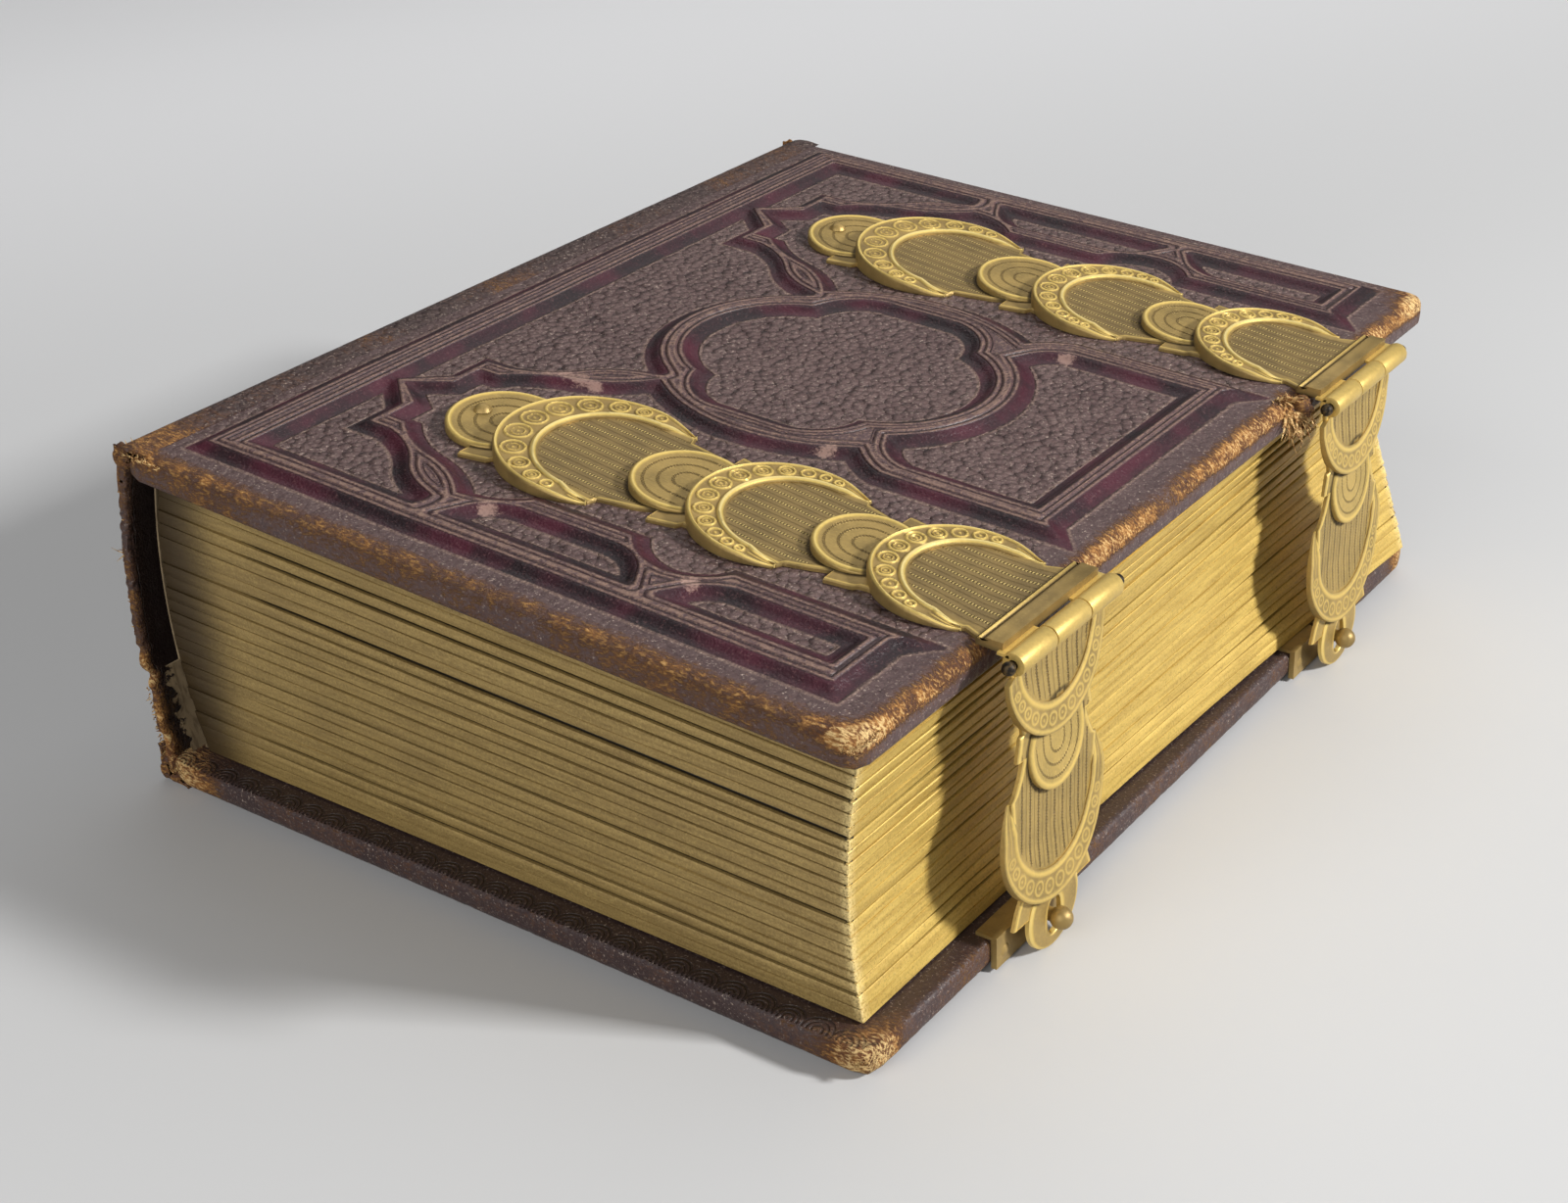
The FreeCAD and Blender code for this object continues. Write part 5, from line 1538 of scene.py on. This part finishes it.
# %% [markdown]
# ## Light, floor and camera
# A soft window light comes from the fore-edge side, so that the gilt there is bright and the
# tail is in a mild shade. A large weak light and the world fill the rest. The floor that the
# camera sees is paler than the floor that throws light back up, which keeps the shadows
# under the covers deep. It darkens towards the foot of the window lamp, where the light is
# much stronger, and far off it glows a little instead of falling into the dark.

# %% Studio
def lamp(name, place, size, power):
    """Rectangular area lamp at a place in metres, aimed at the middle of the album."""
    light = bpy.data.lights.new(name, "AREA")
    light.shape = "RECTANGLE"
    light.size, light.size_y, light.energy = size[0], size[1], power
    holder = bpy.data.objects.new(name, light)
    holder.location = place
    holder.rotation_euler = (Vector((0, 0, 0.02)) - Vector(place)).to_track_quat("-Z", "Y").to_euler()
    bpy.context.scene.collection.objects.link(holder)


def grey(level, blue=0.0):
    """Linear grey, with a little more blue if wanted."""
    return (level, level, level + blue, 1.0)


WINDOW = (0.82, 0.27, 0.5)
lamp("window", WINDOW, (0.12, 0.12), 12.0)
lamp("sky", (-0.2, 0.5, 0.9), (1.2, 1.2), 3.8)
lamp("room", (0.1, -0.9, 0.5), (1.0, 0.8), 6.6)

world = bpy.data.worlds.new("room")
world.use_nodes = True
nodes = world.node_tree.nodes
room, seen_sky = nodes["Background"], nodes.new("ShaderNodeBackground")
for background, colour, strength in ((room, grey(1.0), 0.065), (seen_sky, grey(0.62, 0.01), 1.0)):
    background.inputs["Color"].default_value = colour
    background.inputs["Strength"].default_value = strength
ray, choose = nodes.new("ShaderNodeLightPath"), nodes.new("ShaderNodeMixShader")
for source, target in ((ray.outputs["Is Camera Ray"], choose.inputs[0]),
                       (room.outputs[0], choose.inputs[1]), (seen_sky.outputs[0], choose.inputs[2]),
                       (choose.outputs[0], nodes["World Output"].inputs["Surface"])):
    world.node_tree.links.new(source, target)
bpy.context.scene.world = world
print("three lamps and a world")

# %% Floor
NEAR_GREY, FAR_GREY, DIM_GREY = grey(0.57), grey(0.88, 0.01), grey(0.04)
BOUNCE_GREY, WINDOW_GREY, GLOW = grey(0.20), grey(0.13), grey(0.58, 0.01)
FLOOR_ROUGHNESS = 0.85
floor_mesh = bpy.data.meshes.new("floor")
floor_mesh.from_pydata([(-3, -3, 0), (3, -3, 0), (3, 3, 0), (-3, 3, 0)], [], [(0, 1, 2, 3)])
floor = bpy.data.objects.new("floor", floor_mesh)
bpy.context.scene.collection.objects.link(floor)
finish = Finish("pale floor", Roughness=FLOOR_ROUGHNESS)
finish.shader.inputs["Base Color"].default_value = BOUNCE_GREY
behind = finish.vector("DOT_PRODUCT", {0: finish.place, 1: (-0.894, 0.447, 0.0)}, "Value")
far_off = finish.vector("LENGTH", {0: finish.place}, "Value").step(560.0, 950.0)
lamp_foot = (WINDOW[0] / MM, WINDOW[1] / MM, 0.0)
by_window = finish.vector("DISTANCE", {0: finish.place, 1: lamp_foot}, "Value")
# painted light: the floor is painted paler further back, where the lamps leave it dimmer
colour = finish.mix(behind.step(80.0, 430.0), NEAR_GREY, FAR_GREY)
colour = finish.mix(by_window.step(180.0, 800.0), WINDOW_GREY, colour)
colour = finish.mix(far_off, colour, DIM_GREY)
seen_floor = finish.node("ShaderNodeBsdfPrincipled", {}, {
    "Base Color": colour, "Roughness": FLOOR_ROUGHNESS,
    "Emission Color": finish.mix(far_off, grey(0.0), GLOW), "Emission Strength": 1.0}, "BSDF")
seen = finish.node("ShaderNodeLightPath", out="Is Camera Ray")
for kind in ("Is Glossy Ray", "Is Transmission Ray"):
    seen = finish.math("MAXIMUM", seen, finish.node("ShaderNodeLightPath", out=kind))
floor_shader = finish.node("ShaderNodeMixShader", {}, {
    0: seen, 1: Value(finish, finish.shader.outputs["BSDF"]), 2: seen_floor})
finish.tree.links.new(floor_shader.socket, finish.tree.nodes["Material Output"].inputs["Surface"])
floor_mesh.materials.append(finish.material)
print("floor of", len(finish.tree.nodes), "shader nodes")

# %% Camera
CAMERA_PLACE = (236.94, -171.21, 175.83)    # millimetres, from the album's corner
RIGHT = Vector((0.80800, 0.58770, -0.04190))
DOWN = Vector((0.24785, -0.40355, -0.88075))
AHEAD = Vector((-0.53452, 0.70126, -0.47172))
camera = bpy.data.cameras.new("camera")
camera.sensor_width, camera.lens, camera.clip_start = 36.0, 53.79, 0.01
viewer = bpy.data.objects.new("camera", camera)
turn = Matrix([(RIGHT[i], -DOWN[i], -AHEAD[i]) for i in range(3)]).to_4x4()
viewer.matrix_world = Matrix.Translation(Vector((CAMERA_PLACE + ALBUM_CORNER) * MM)) @ turn
bpy.context.scene.collection.objects.link(viewer)
bpy.context.scene.camera = viewer
bpy.context.scene.view_settings.view_transform = "Standard"
print("camera at", tuple(round(v, 3) for v in viewer.matrix_world.translation))
